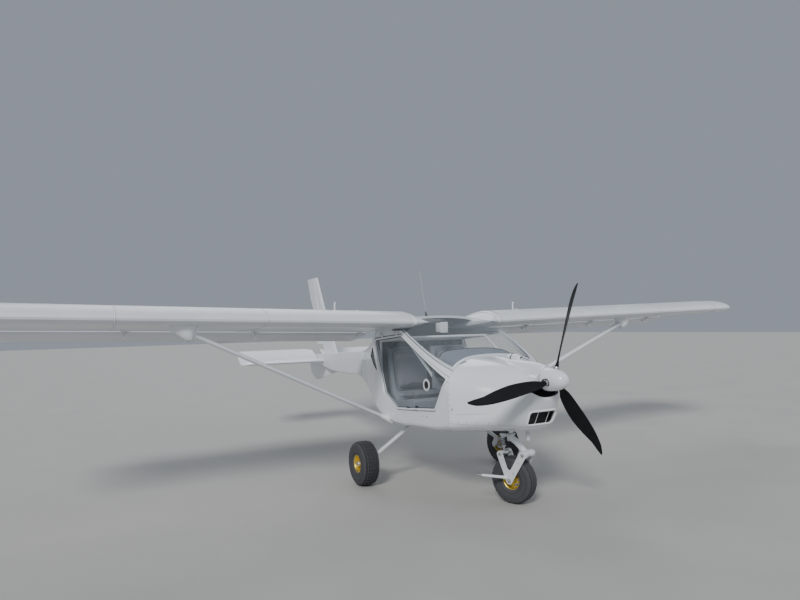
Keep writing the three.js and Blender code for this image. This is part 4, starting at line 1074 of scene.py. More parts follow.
@dataclass
class Doors:
    """Both doors: frame, glass, seals, hinges, handle and air vent."""

    hinge_x: float = 608.0
    hinges: Sequence[float] = (1840.0, 2170.0)

    def build(self) -> None:
        """Make both doors."""
        for name, side in SIDES:
            self.leaf(name, side)
            self.hardware(name, side)

    def leaf(self, name: str, side: float) -> None:
        """Make a door's frame, its glass and its seals.

        Args: name and side say which door.
        """
        body, place = f"door_{name}", flank(side)
        corners = inset_outline(DOOR_LEAF, DOOR_GAP)
        glass = inset_outline(DOOR_LEAF, DOOR_GAP + DOOR_RAIL)
        rails = ((0.0, 4.0), (0.06, 0.8), (0.2, -2.4), (0.4, -4.2), (0.6, -4.4), (0.8, -3.0),
                 (0.94, 0.2), (1.0, 4.0), (1.0, 20.0), (0.85, 23.6), (0.15, 23.6), (0.0, 20.0))
        bead = ((0, 2), (0.3, 0.6), (0.7, 1.4), (1.0, 5.5), (0.8, 6.2), (0.1, 6.2))
        edge = ((0, 4), (1, 4), (1, 20), (0, 20))
        for label, finish, outer, inner, section, node, smooth in (
                ("rails", WHITE, (corners, 0, 28), (glass, 0, 22), rails, f"door_frame_{name}", 40),
                ("pane_seal", GASKET, (glass, -1.5, 23), (glass, 5, 19), bead, "", 60),
                ("edge_seal", GASKET, (corners, -0.2, 28), (corners, 1.4, 28), edge, "", 60)):
            ring_frame(eased(*outer, 12), eased(*inner, 12), section, place).piece(
                f"door_{label}_{name}", finish, body, node, smooth)
        pane(eased(glass, 0.5, 22, 12), (6.5, 11.5), place, 8).piece(
            f"door_pane_{name}", GLAZING, body, f"door_glass_{name}", 60)

    def hardware(self, name: str, side: float) -> None:
        """Make a door's hinges, handle, latch, vent and the sill's studs.

        Args: name and side say which door.
        """
        body, out = f"door_{name}", Vector((side, 0, 0))
        straps, leaves, pins, latch, dots = (Shape() for _ in range(5))
        for s in self.hinges:
            for start, end, shape, radius, sides in (
                    (s - 20, s + 20, straps, 7, 24), (s - 50, s - 20.6, leaves, 7, 24),
                    (s + 20.6, s + 50, leaves, 7, 24), (s - 53, s + 53, pins, 3, 16)):
                shape.rod(self.hinge(side, start), self.hinge(side, end), radius, sides=sides)
            z = self.hinge(side, s).z
            x0, x1 = span(side, 601, 607)
            straps.block((x0, s - 18, z - 36), (x1, s + 18, z - 3), 1.5)
            for shift in (-10, 10):
                straps.stud((side * 606, s + shift, z - 26), out, 0, 3.5, 4.5, 3.5)
            x0, x1 = span(side, 594, 606)
            for start in (s - 48, s + 23):
                leaves.block((x0, start, z), (x1, start + 25, z + 26), 1.5)
        straps.piece(f"door_hinge_straps_{name}", PALE_METAL, body)
        leaves.piece(f"door_hinge_leaves_{name}", PALE_METAL)
        pins.piece(f"door_hinge_pins_{name}", STEEL)
        place = CABIN.side(1420, 808, side, -3)
        lever = place + out * 11
        handle = Shape().stud(place, out, 0, 9, 11, 10, 28)
        handle.block(lever - Vector((3, 8, 8)), lever + Vector((3, 66, 8)), 3)
        handle.piece(f"door_handle_{name}", PALE_METAL, body)
        for start, end, z in ((1600, 1668, 802), (1452, 1496, 828)):
            x0, x1 = sorted((CABIN.side(start, z, side, 2).x, CABIN.side(end, z - 4, side, 2).x))
            latch.block((x0 - 5, start, z - 9), (x1 + 5, end, z + 8), 3)
        latch.piece(f"door_latch_blocks_{name}", GRIP, body)
        for s, size in ((1283, 7), (1352, 4)):
            dots.stud(CABIN.side(s, 755, side), out, 2, 2, size, size - 1, 18)
        dots.piece(f"sill_studs_{name}", GASKET)
        centre = CABIN.side(1287, 1049, side, 6)
        turn = (centre - CABIN.side(1287, 1049, side, 16)).normalized()
        ring = ((35, 0), (56, 0), (58, 3), (56, 6.5), (52, 8), (42, 8), (38, 5), (35, 4), (35, 0))
        cup = ((0, 1.5), (34, 1.5), (34.8, 3), (34.8, 6), (31, 7), (10, 11), (0, 11.5))
        Shape().lathe(ring, centre, turn).piece(f"vent_ring_{name}", PALE_METAL, body, smooth=50)
        flap = Shape().lathe(cup, centre, turn)
        reach = Vector((3, 3, 33))
        flap.block(centre + turn * 6 - reach, centre + turn * 12 + reach, 1)
        flap.piece(f"vent_flap_{name}", DARK, body, smooth=50)

    def hinge(self, side: float, s: float) -> Vector:
        """Return the point of the hinge line at a station."""
        return Vector((side * self.hinge_x, s, 1536 - (s - 1755) * 54 / 668))


def sweep(path: Sequence[Point], sizes: Sequence[tuple[float, float]], across: Point,
          square: float = 3.0, sides: int = 24, steps: int = 1) -> Shape:
    """Sweep a rounded section along a path.

    Args: path holds its points; sizes the half width and half thickness at each; across is the
        direction of the width; square is the section's roundness, 2 for an ellipse; sides and
        steps are the divisions round and between the points.
    Returns: the closed bar.
    """
    points = [Vector(p) for p in path]
    last = len(points) - 1
    frames = []
    for i, here in enumerate(points):
        way = (points[min(i + 1, last)] - points[max(i - 1, 0)]).normalized()
        side = (Vector(across) - way * way.dot(Vector(across))).normalized()
        frames.append((here, side, way.cross(side)))

    def at(u: float, v: float) -> Vector:
        """Return the point at a share round the section and along the path."""
        i = min(int(v * last + 1e-6), last - 1)
        t = v * last - i
        here, side, up = (a.lerp(b, t) for a, b in zip(frames[i], frames[i + 1]))
        wide, thick = (lerp(a, b, t) for a, b in zip(sizes[i], sizes[i + 1]))
        angle = 2 * math.pi * u
        return (here + side * power(math.cos(angle), 2 / square) * wide
                + up * power(math.sin(angle), 2 / square) * thick)

    return Shape().skin(sides, last * steps, at).close()


def airfoil(chord: float, thickness: float, camber: float, steps: int = 22
            ) -> list[tuple[float, float]]:
    """Return a wing section from the upper trailing edge forward and back below.

    Args: chord in millimetres; thickness and camber as shares of it; steps for each surface.
    Returns: distance aft of the leading edge and height, for each point.
    """
    crest, edge = 0.35, 3.0
    upper, lower = [], []
    for i in range(steps + 1):
        u = (1 + math.cos(math.pi * i / steps)) / 2
        side = crest if u < crest else 1 - crest
        mean = camber * chord * (1 - ((u - crest) / side) ** 2)
        cubic = -0.126 * u - 0.3516 * u ** 2 + 0.2843 * u ** 3 - 0.1015 * u ** 4
        half = 5 * thickness * chord * (0.2969 * math.sqrt(u) + cubic) + edge * u
        upper.append((u * chord, mean + half))
        lower.insert(0, (u * chord, mean - half))
    return upper + lower[1:]


AIRFOIL_POINTS = len(airfoil(1, 1, 1))


@dataclass
class Wing:
    """The wing halves, their flaperons, struts and small fittings."""

    lead: float = 1577.0
    lead_height: float = 1622.0
    sweep: float = 0.0203
    dihedral: float = 0.0288
    chord: float = 1118.0
    thickness: float = 0.16
    camber: float = 0.045
    incidence: float = 5.0
    rows: Sequence[Sequence[float]] = ((385, 0.18, 0.93, -20), (430, 0.5, 0.97, -18),
                                       (480, 0.8, 0.99, -8), (550, 1, 1, 0), (1000, 1, 1, 0),
                                       (1980, 1, 1, 0), (3170, 1, 1, 0), (4380, 1, 1, 0),
                                       (4560, 0.985, 1, 0), (4660, 0.965, 1, 0),
                                       (4715, 0.93, 0.985, 8), (4745, 0.87, 0.97, 18),
                                       (4762, 0.79, 0.95, 32), (4772, 0.66, 0.92, 55))
    seams: Sequence[float] = (552.0, 1980.0, 3170.0, 4370.0)
    flap_axis: Point = (2724.0, 1508.0)
    flap_nose: float = 20.0
    flap_chord: float = 268.0
    flap_droop: float = 20.0
    brackets: Sequence[float] = (640.0, 1820.0, 3050.0, 4280.0)
    cuff: Sequence[Sequence[float]] = ((2528, 25, 1612), (2552, 52, 1570), (2590, 82, 1521),
                                       (2622, 88, 1521), (2660, 82, 1545), (2700, 68, 1572),
                                       (2732, 45, 1590), (2759, 16, 1605))

    def build(self) -> None:
        """Make both halves."""
        for name, side in SIDES:
            self.panel(name, side)
            self.details(name, side)
            self.flaperon(name, side)
            self.strut(name, side)

    def point(self, x: float, index: int, fullness: float = 1.0, share: float = 1.0,
              step: float = 0.0, grow: float = 0.0) -> Vector:
        """Return a point of the wing's section at a distance from the centre line.

        Args: x; index of the section's point; fullness and share of the chord; step aft; grow is
            how far outside the skin.
        Returns: the point on the port side.
        """
        u, v = airfoil(self.chord * share, self.thickness * fullness, self.camber * fullness)[index]
        tilt = math.radians(self.incidence)
        v += math.copysign(grow, v)
        u += -grow if u < self.chord * 0.02 else 0.0
        lead = self.lead + self.sweep * x + step
        height = self.lead_height + self.dihedral * x
        return Vector((x, lead + u * math.cos(tilt) + v * math.sin(tilt),
                       height - u * math.sin(tilt) + v * math.cos(tilt)))

    def panel(self, name: str, side: float) -> None:
        """Make one wing half as one smooth skin.

        Args: name and side say which half.
        """
        rings = [[flip(self.point(x, i, fullness, share, step), side)
                  for i in range(AIRFOIL_POINTS)] for x, fullness, share, step in self.rows]
        skin_rings(rings).piece(f"wing_panel_{name}", WING_WHITE, node=f"wing_{name}", smooth=30)

    def details(self, name: str, side: float) -> None:
        """Make seams, root strip, hinge brackets, hangers, vent, fuel cap and strut cuff.

        Args: name and side say which half.
        """
        count = AIRFOIL_POINTS
        seams, bands, rivets, brackets, hangers = (Shape() for _ in range(5))
        for x in self.seams:
            for shift in (-7.0, 7.0):
                seams.tube([flip(self.point(x + shift, i, grow=0.5), side)
                            for i in range(1, count - 1)], 1.3, 5)

            def band(u: float, v: float) -> Point:
                """Return a point of the tape over a wing joint."""
                place = self.point(x + (v - 0.5) * 13, 1 + round(u * (count - 3)), grow=0.7)
                return flip(place, side)

            bands.skin(count - 3, 1, band)
        for index in (9, count - 10):
            seams.tube([flip(self.point(x, index, grow=0.2), side) for x in spread(560, 4640, 30)],
                       1.1, 5)
            for x in spread(610, 4560, 66):
                rivets.rod(flip(self.point(x, index), side),
                           flip(self.point(x, index, grow=1.5), side), 3.4, 2.2, 8)
        seams.piece(f"wing_seams_{name}", SEAM)
        bands.piece(f"wing_tapes_{name}", TAPE, wall=0.6)
        rivets.piece(f"wing_rivets_{name}", PALE_METAL)
        for x in self.brackets:
            s, z = self.flap_line(x)
            outline = ((s - 215, z + 62), (s - 60, z + 52), (s - 24, z + 26), (s - 21, z - 8),
                       (s - 24, z - 30), (s - 40, z - 36))
            brackets.plate(rounded(outline, 10, 4, 1), in_side, *span(side, x - 4, x + 4), 0.8)
        brackets.piece(f"flaperon_brackets_{name}", PALE_METAL)
        for x in self.brackets[1:]:
            s, z = self.flap_line(x)
            outer = rounded(((x - 42, z + 14), (x + 42, z + 14), (x, z - 78)), 12, 5, 3)
            inner = rounded(((x - 24, z + 3), (x + 24, z + 3), (x, z - 52)), 6, 5, 3)
            hangers.add(ring_frame(outer, inner, ((0, -5), (1, -5), (1, 5), (0, 5)),
                                   lambda u, v, d, s=s: Vector((side * u, s - 52 + d, v))))
        # The hangers are the brighter white: painted highlight.
        hangers.piece(f"flaperon_hangers_{name}", HIGHLIGHT_WHITE, smooth=40)
        outline = ((-1, 0.5), (-0.93, 0.22), (-0.7, 0.02), (-0.3, 0), (0.2, 0), (0.55, 0.03),
                   (0.85, 0.25), (1, 0.5), (1, 1), (-1, 1))
        rings = [[Vector((x * side, 1805 + a * half, low + b * (1664 - low))) for a, b in outline]
                 for x, half, low in self.cuff]
        skin_rings(rings).piece(f"strut_cuff_{name}", WHITE, smooth=50, bevel=2.5)
        # The vent is the brighter white: painted highlight.
        vent = [(side * 1150, 2140, z) for z in spread(1738, 1842, 6)]
        vent += [(side * 1150, 2140 - 5 * k, 1848 + k) for k in (1, 2, 3)]
        Shape().tube(vent, 7.5, 16).piece(f"fuel_vent_{name}", HIGHLIGHT_WHITE)
        Shape().lathe(((0, 8), (20, 8), (24, 6), (26, 0), (26, -6), (0, -6)),
                      (side * 1010, 1905, 1757), (0, math.sin(0.09), math.cos(0.09)), 36).piece(
            f"fuel_cap_{name}", ALLOY, smooth=40)

        def root(u: float, v: float) -> Point:
            """Return a point of the light strip along the wing's root fairing."""
            return flip(self.point(500 + v * 40, 1 + round(u * (count - 3)), lerp(0.88, 0.99, v),
                                   lerp(0.993, 1, v), lerp(-6, 0, v), 1.2), side)

        Shape().skin(count - 3, 3, root).piece(f"root_strip_{name}", TAPE, wall=0.8)

    def flap_ring(self, x: float, skew: float) -> list[Vector]:
        """Return the flaperon's section at a distance from the centre line.

        Args: x is the distance; skew is how far the rear edge is moved outwards.
        Returns: the section's points on the port side.
        """
        y, z = self.flap_line(x)
        nose, chord = self.flap_nose, self.flap_chord
        points = [(u, v, 0.0) for u, v in round_nose(nose)]
        points += [(chord * u, -lerp(nose, 2, u) - 1.2, skew * u) for u in (0.33, 0.66)]
        points += [(chord, -2.0, skew), (chord, 2.0, skew)]
        points += [(chord * u, lerp(nose, 2, u) + 1.2, skew * u) for u in (0.66, 0.33)]
        turned = [(shift, *tilt(u, v, -self.flap_droop)) for u, v, shift in points]
        return [Vector((x + shift, y + aft, z + rise)) for shift, aft, rise in turned]

    def flaperon(self, name: str, side: float) -> None:
        """Make one flaperon with its horns, trim tab and rivets.

        Args: name and side say which half.
        """
        body = f"flaperon_{name}"
        stations = [535, 560] + spread(700, 4600, 24) + [4660, 4690]
        skin_rings([[flip(p, side) for p in self.flap_ring(x, 75 * max(0.0, 1 - (x - 535) / 400))]
                    for x in stations]).piece(
            f"flaperon_skin_{name}", WING_WHITE, body, f"flaperon_{name}", 30, 0.8)
        horns, rivets = Shape(), Shape()
        for x in self.brackets:
            y, z = self.flap_line(x)
            turned = [tilt(u, v, -self.flap_droop)
                      for u, v in ((-6, -17), (60, -19), (14, -44), (-2, -40))]
            horns.plate(rounded([(y + aft, z + rise) for aft, rise in turned], 6, 4, 1), in_side,
                        *span(side, x + 9, x + 13), 0.6)
        horns.piece(f"flaperon_horns_{name}", PALE_METAL, body)

        def tab(u: float, v: float) -> Point:
            """Return a point of the trim tab."""
            x = lerp(1965, 2150, u)
            y, z = self.flap_line(x)
            aft, rise = tilt(self.flap_chord - 2 + 28 * v, 0, -self.flap_droop)
            return (x * side, y + aft, z + rise)

        Shape().skin(6, 2, tab).piece(f"trim_tab_{name}", ALLOY, body, wall=1.6)
        for x in spread(640, 4600, 44):
            ring = self.flap_ring(x, 0)
            for p, q, high in ((ring[-1], ring[-2], 1.2), (ring[-6], ring[-5], -1.2)):
                rivets.stud(flip(p.lerp(q, 0.12), side), (0, 0, high), 1, 1, 2.8, 2.0, 8)
        rivets.piece(f"flaperon_rivets_{name}", PALE_METAL, body)

    def strut(self, name: str, side: float) -> None:
        """Make one strut with its foot fitting, fairing and tie-down ring.

        Args: name and side say which side.
        """
        foot, head = Vector((575, 2118.6, 624)), Vector((2625, 1789.5, 1589))

        def bar(shares: Sequence[float], sizes: Sequence[tuple[float, float]], square: float
                ) -> Shape:
            """Return a bar along the strut's line."""
            path = [flip(foot.lerp(head, t), side) for t in shares]
            return sweep(path, sizes, (0, -1, 0), square, 28)

        bar(spread(0, 1, 6), [(40.0, 20.0)] * 7, 2.15).piece(
            f"strut_tube_{name}", WHITE, node=f"strut_{name}", smooth=40)
        # The foot fairing is the brighter white: painted highlight.
        bar((-0.012, 0.004, 0.018, 0.034, 0.052),
            ((72.0, 40.0), (68.0, 39.0), (58.0, 33.0), (48.0, 26.0), (42.0, 21.6)), 2.3).piece(
            f"strut_foot_fairing_{name}", HIGHLIGHT_WHITE, smooth=50)
        place = Vector((side * 566, 2118, 622))
        fitting = Shape().block(place - Vector((14, 60, 20)), place + Vector((14, 60, 26)), 6)
        for shift in (-38, 38):
            fitting.stud(place + Vector((0, shift, 4)), (side, 0, 0), 0, 20, 8, 8, 6)
        fitting.piece(f"strut_foot_plate_{name}", PALE_METAL)
        ring = [(2606 * side, s, z) for s, z in arc((1805, 1513), 11, 0, 360, 24)[:-1]]
        Shape().tube(ring, 2.6, closed=True).piece(f"tie_down_ring_{name}", STEEL)

    def flap_line(self, x: float) -> tuple[float, float]:
        """Return the flaperon axis's station and height at a distance from the centre line."""
        return self.flap_axis[0] + self.sweep * x, self.flap_axis[1] + self.dihedral * x


def slab(place: Callable[[float, float], Point], lead: float, trail: float, thick: float,
         thick_trail: float) -> list[Vector]:
    """Return a flat surface's section with a round nose.

    Args: place turns station and offset into a point; lead and trail are its edges; thick and
        thick_trail its thickness.
    Returns: the section's points.
    """
    reach = (trail - lead) * 0.38
    points = [(lead + reach + reach * u, thick / 2 * v) for u, v in round_nose(1)]
    points += [(trail, -thick_trail / 2), (trail, thick_trail / 2)]
    return [Vector(place(s, v)) for s, v in points]


def skin_rings(rings: Sequence[Sequence[Vector]], between: int = 1) -> Shape:
    """Stretch a closed skin over rings of equal numbers of points.

    Args: rings run along the piece; between is the divisions between two rings.
    Returns: the closed shape.
    """
    count, length = len(rings[0]), (len(rings) - 1) * between

    def at(u: float, v: float) -> Vector:
        """Return the point at a share round the rings and along them."""
        k = round(v * length)
        i = min(k // between, len(rings) - 2)
        j = round(u * count) % count
        return rings[i][j].lerp(rings[i + 1][j], k / between - i)

    return Shape().skin(count, length, at).close()


@dataclass
class Tail:
    """The tail boom, fin, rudder, stabilizer, elevator and ventral fin."""

    elevator_axis: float = 5600.0
    height: float = 1075.0
    stabilizer_lead: float = 5245.0
    nose: float = 19.0
    elevator_up: float = 29.0
    foot: Point = (5520.0, 1328.0)
    head: Point = (5850.0, 2430.0)

    def build(self) -> None:
        """Make every piece of the tail."""
        self.boom()
        self.stabilizer()
        self.elevator()
        self.fin()
        self.rudder()
        self.ventral()
        self.antenna()

    def boom(self) -> None:
        """Make the boom's skin with its rear cap and rivet lines."""
        skin_rings([BOOM.ring(s, 0.0, 112) for s in BOOM_STATIONS]).piece(
            "tail_boom_skin", BODY_WHITE, node="tail_boom", smooth=26)
        rivets, seams = Shape(), Shape()
        for turn in (0.36, 0.64, -0.36, -0.64):
            for s in spread(3440, 5700, 56):
                BOOM.rivet(rivets, s, turn, 1.2, 3.0)
        rivets.piece("tail_boom_rivets", PALE_METAL)
        for station in (4250, 5150):
            seams.tube(BOOM.ring(station, 0.9, 64), 1.6, 6, closed=True)
        seams.piece("tail_boom_seams", SEAM)

    def stabilizer(self) -> None:
        """Make the fixed tailplane with its tip seams and lugs."""
        trail = self.elevator_axis - self.nose - 5
        rows = ((0, 0, 56, 0), (400, 4, 55, 0), (800, 8, 54, 0), (1200, 12, 52, 0),
                (1255, 24, 46, 3), (1290, 40, 40, 6), (1310, 66, 32, 11), (1325, 110, 22, 18))
        half = [slab(lambda s, v: (x, s, self.height - drop + v), self.stabilizer_lead + step,
                     trail, thick, min(thick, 32)) for x, step, thick, drop in rows]
        skin_rings([[flip(p, -1) for p in ring] for ring in half[:0:-1]] + half).piece(
            "stabilizer_skin", BODY_WHITE, node="stabilizer", smooth=34)
        lugs, tips = Shape(), Shape()
        for _, side in SIDES:
            for x in (180, 680, 1180):
                lugs.block((side * x - 9, trail - 20, self.height - 9),
                           (side * x + 9, self.elevator_axis - self.nose - 0.6, self.height + 9), 2)
            tips.tube(slab(lambda s, v: (side * 1200, s, self.height + v * 1.02),
                           self.stabilizer_lead + 12, trail, 52, 32)[:-2], 1.4, 6)
        lugs.piece("stabilizer_lugs", PALE_METAL)
        tips.piece("stabilizer_tip_seams", SEAM)

    def hinged(self, x: float, nose: float, chord: float) -> list[Vector]:
        """Return the elevator's section, turned about its axis as it is parked.

        Args: x is its distance out; nose is its front's radius and chord its length.
        Returns: the section's points.
        """
        points = round_nose(nose) + [(chord * 0.5, -nose * 0.55), (chord, -2.0), (chord, 2.0),
                                     (chord * 0.5, nose * 0.55)]
        turned = [tilt(u, v, self.elevator_up) for u, v in points]
        return [Vector((x, self.elevator_axis + aft, self.height + rise)) for aft, rise in turned]

    def elevator(self) -> None:
        """Make both halves of the elevator, their tube and rivets."""
        rows = ((70, 19, 310), (120, 19, 332), (220, 19, 350), (700, 19, 350), (1240, 19, 350),
                (1285, 17, 336), (1308, 15.4, 312), (1320, 13.3, 280))
        whole, rivets = Shape(), Shape()
        for _, side in SIDES:
            whole.add(skin_rings([[flip(p, side) for p in self.hinged(*row)] for row in rows]))
            for x in spread(150, 1230, 18):
                ring = self.hinged(x, 19, 345)
                place = ring[-1].lerp(ring[0], 0.75)
                rivets.rod((x * side, place.y - 0.6, place.z - 1.4),
                           (x * side, place.y, place.z + 1.4), 2.8, 2.0, 8)
        whole.piece("elevator_skin", BODY_WHITE, "elevator", "elevator", 34)
        rivets.piece("elevator_rivets", PALE_METAL, "elevator")
        hinge = (self.elevator_axis, self.height)
        Shape().rod((-84, *hinge), (84, *hinge), 13, sides=32).piece(
            "elevator_tube", ALLOY, "elevator")

    def rudder_axis(self, z: float) -> float:
        """Return the station of the rudder's hinge line at a height."""
        share = (z - self.foot[1]) / (self.head[1] - self.foot[1])
        return lerp(self.foot[0], self.head[0], share)

    def fin(self) -> None:
        """Make the fin with its root seal and lugs."""
        rows = ((1120, 4850, 60), (1185, 4890, 60), (1250, 4940, 58), (1500, 5125, 55),
                (1890, 5410, 50), (2200, 5612, 46), (2380, 5725, 42), (2416, 5748, 40),
                (2430, 5765, 34))
        rings = [slab(lambda s, v: (v, s, z), lead, self.rudder_axis(z) - self.nose - 7, thick, 32)
                 for z, lead, thick in rows]
        skin_rings(rings).piece("fin_skin", BODY_WHITE, node="fin", smooth=34)
        lugs, seal = Shape(), Shape()
        for z in (1400, 1860, 2300):
            s = self.rudder_axis(z)
            lugs.block((-8, s - 60, z - 12), (8, s - self.nose - 0.8, z + 12), 2)
        lugs.piece("fin_lugs", PALE_METAL)
        for _, side in SIDES:
            seal.tube([(side * 27, s, 1212 - 29 * (s - 4820) / 480)
                       for s in spread(4925, 5470, 14)], 5, 8)
        seal.piece("fin_root_seal", TAPE, smooth=60)

    def rudder(self) -> None:
        """Make the rudder with its rib lines and horn."""
        rows = ((1328, 250), (1342, 256), (1600, 264), (1900, 275), (2070, 326), (2090, 334),
                (2260, 358), (2415, 378), (2430, 372))
        rings = []
        for z, chord in rows:
            nose = self.nose if 1328 < z < 2430 else self.nose - 3
            outline = [(v, u) for u, v in round_nose(nose)]
            outline += [(-nose * 0.5, chord / 2), (-2, chord), (2, chord), (nose * 0.5, chord / 2)]
            rings.append([Vector((x, self.rudder_axis(z) + aft, z)) for x, aft in outline])
        skin_rings(rings).piece("rudder_skin", BODY_WHITE, "rudder", "rudder", 34)
        ribs = Shape()
        for z, chord in ((1460, 255), (1680, 262), (1900, 270), (2160, 335)):
            for _, side in SIDES:
                ribs.tube([(side * ((lerp(19, 10, t) if t < 0.5 else lerp(18, 2, t)) + 0.2),
                            self.rudder_axis(z) + chord * t, z) for t in spread(0.05, 0.95, 8)],
                          1.2, 6)
        ribs.piece("rudder_ribs", SEAM, "rudder")
        s = self.rudder_axis(1345)
        horn = rounded(((-70, s - 10), (70, s - 10), (40, s + 26), (-40, s + 26)), 8, 4, 1)
        Shape().plate(horn, in_plan, 1338, 1341, 0.5).piece("rudder_horn", ALLOY, "rudder")

    def ventral(self) -> None:
        """Make the ventral fin with its skid."""
        outline = ((4840, 1010), (4840, 937), (5590, 783), (5830, 747), (6050, 810), (6170, 1000),
                   (6040, 1024), (5640, 1030))
        Shape().plate(rounded(outline, 24, 5, 4), in_side, -11, 11, 3).piece(
            "ventral_fin_skin", BODY_WHITE, node="ventral_fin", smooth=40)
        path = [(0, lerp(5560, 5830, t), lerp(790, 748, t)) for t in spread(0, 1, 6)]
        path += [(0, lerp(5830, 5990, t), lerp(748, 790, t)) for t in spread(0.15, 1, 5)]
        Shape().tube(path, 7, 12).piece("ventral_skid", STEEL, smooth=50)

    def antenna(self) -> None:
        """Make the whip aerial with its base."""
        Shape().lathe(((0, 0), (13, 0), (14, 4), (10, 16), (7, 44), (4, 62), (0, 64)),
                      (0, 2246, 1698), (0, 0.33, 0.944), 28).piece(
            "aerial_base", GRIP, node="antenna", smooth=50)
        Shape().tube([(0, lerp(2262, 2380, t), lerp(1748, 2224, t)) for t in spread(0, 1, 8)], 2.6,
                     10).piece("aerial_whip", STEEL)


@dataclass
class Wheel:
    """One wheel: a tyre with a cut tread and a lobed rim, turned about its own axle."""

    centre: Point
    radius: float
    width: float
    bead: float
    zigzag: bool
    turn: float = 0.0
    bead_radius: float = 81.0
    flange: float = 9.0
    swing: float = 6.0
    tread: float = 8.0
    notch: float = 4.5

    def place(self, shape: Shape) -> Shape:
        """Turn and move a shape that was drawn round the world's X axis.

        Args: shape is what is moved.
        Returns: the same shape.
        """
        matrix = Matrix.Translation(self.centre) @ Matrix.Rotation(math.radians(self.turn), 4, "Z")
        shape.bm.transform(matrix)
        return shape

    def tyre(self, name: str, body: str, node: str) -> None:
        """Make the tyre with its tread, shoulders and side rings, and black tubes in the tread
        grooves and on the side rings as painted shade.

        Args: name, body and the CAD node it stands for.
        """
        depth, half = self.radius - self.bead_radius, self.width / 2
        side = ((0.0, 0.72), (0.04, 0.80), (0.12, 0.9), (0.2, 0.94), (0.22, 0.965), (0.25, 0.965),
                (0.28, 0.955), (0.38, 0.985), (0.5, 1.0), (0.62, 0.995), (0.72, 0.98), (0.80, 0.94),
                (0.87, 0.885), (0.92, 0.83))
        profile = [(self.bead_radius + rise * depth, wide * half, False) for rise, wide in side]
        ribs = 5 if self.zigzag else 4
        steps, reach = ribs * 6, half * 0.76
        crown = []
        for k in range(steps + 1):
            share = 1 - 2 * k / steps
            cut = self.tread if 0.34 < k % 6 / 6 < 0.9 and 0 < k < steps else 0.0
            crown.append((self.crown(share) - cut, share * reach, True))
        path = profile + crown + [(r, -x, False) for r, x, _ in reversed(profile)]
        path += [(self.bead_radius, -self.bead, False), (self.bead_radius, self.bead, False)]
        count, around = len(path), 144

        def at(u: float, v: float) -> Point:
            """Return a point of the tyre at a share round the wheel and round its section."""
            r, x, tread = path[round(v * count) % count]
            turn = round(u * around) % around
            if tread:
                x += self.wave(x / reach, turn)
            elif 0.80 * half < abs(x) and r > self.bead_radius + 0.84 * depth:
                r -= self.notch if turn % 6 < 2 else 0.0
            angle = 2 * math.pi * turn / around
            return (x, r * math.cos(angle), r * math.sin(angle))

        self.place(Shape().skin(around, count, at)).piece(name, TYRE, body, node, 38)
        # Black tubes sunk in the tread grooves and laid on the side rings: painted shade.
        groove_shade = Shape()
        for k in range(ribs):
            share = 1 - 2 * (6 * k + 4) / steps
            ring = arc((0, 0), self.crown(share) - 6.0, 0, 360, around)[:-1]
            groove_shade.tube([(share * reach + self.wave(share, turn), y, z)
                          for turn, (y, z) in enumerate(ring)], 3.4, 6, closed=True)
        for _, face in SIDES:
            for rise, wide in ((0.236, 0.962), (0.62, 0.9935)):
                ring = arc((0, 0), self.bead_radius + rise * depth, 0, 360, 96)[:-1]
                groove_shade.tube([(face * wide * half, y, z) for y, z in ring], 1.5, 6, closed=True)
        self.place(groove_shade).piece(f"{name}_grooves", DARK, body, smooth=60)

    def rim(self, name: str, body: str, node: str, lobes: int) -> None:
        """Make the rim's barrel and disc, its bolts, cap and valve.

        Args: name, body and node; lobes is the number of openings.
        """
        seat, lip = self.bead_radius - 0.3, self.bead_radius + self.flange
        inner = self.bead + 0.3
        outer = inner + 6.0
        half = ((16, outer - 22), (27, outer - 22), (30, outer - 26), (31, 16), (36, 11), (64, 9),
                (69, 12), (71, 22), (73, outer - 10), (77, outer - 4), (82, outer),
                (lip - 2, outer), (lip, outer - 2), (lip, inner), (seat + 2, inner - 1),
                (seat, inner - 5), (seat - 2, inner - 14), (74.5, inner - 22), (74.5, 0))
        profile = list(half) + [(r, -x) for r, x in reversed(half)]
        shape = Shape().lathe([*profile, profile[0]], (0, 0, 0), (1, 0, 0), 72)
        tools = []
        for k in range(lobes):
            start, half_turn = 360 * k / lobes, 108 / lobes
            outline = arc((0, 0), 60, start - half_turn, start + half_turn, 8)
            outline += arc((0, 0), 42, start + half_turn * 0.62, start - half_turn * 0.62, 5)
            tools.append(Shape().plate(outline, in_side, -40, 40))
        self.place(shape.carve(*tools)).piece(name, GOLD, body, node, 34, 1.0)
        bolts, caps, valve = Shape(), Shape(), Shape()
        for _, face in SIDES:
            for y, z in arc((0, 0), 50, 180 / lobes, 180 / lobes + 360, lobes)[:-1]:
                for low, high, radius, sides in ((8, 12, 9, 24), (11, 18, 6.5, 6),
                                                 (17, 22, 3.4, 12)):
                    bolts.rod((face * low, y, z), (face * high, y, z), radius, sides=sides)
            for y, z in arc((0, 0), 84.5, 45 / lobes, 45 / lobes + 360, lobes * 2)[:-1]:
                bolts.rod((face * (outer - 1), y, z), (face * (outer + 2.2), y, z), 3.6, sides=6)
            cap = ((0, 12), (10, 12), (17, 9), (21, 4), (22, 0), (22, -18), (0, -18))
            caps.lathe([(r, h * face) for r, h in cap], (face * (outer - 14), 0, 0), (1, 0, 0), 32)
        self.place(bolts).piece(f"{name}_bolts", STEEL, body)
        self.place(caps).piece(f"{name}_caps", ALLOY, body, smooth=40)
        away = -1 if self.centre[0] < 0 else 1
        valve.rod((away * (outer - 14), 0, -66), (away * (outer + 6), 0, -62), 3.6, 3.2, 14)
        valve.rod((away * (outer + 5), 0, -62.2), (away * (outer + 13), 0, -60.8), 4.4, 4.0, 14)
        self.place(valve).piece(f"{name}_valve", GRIP, body)

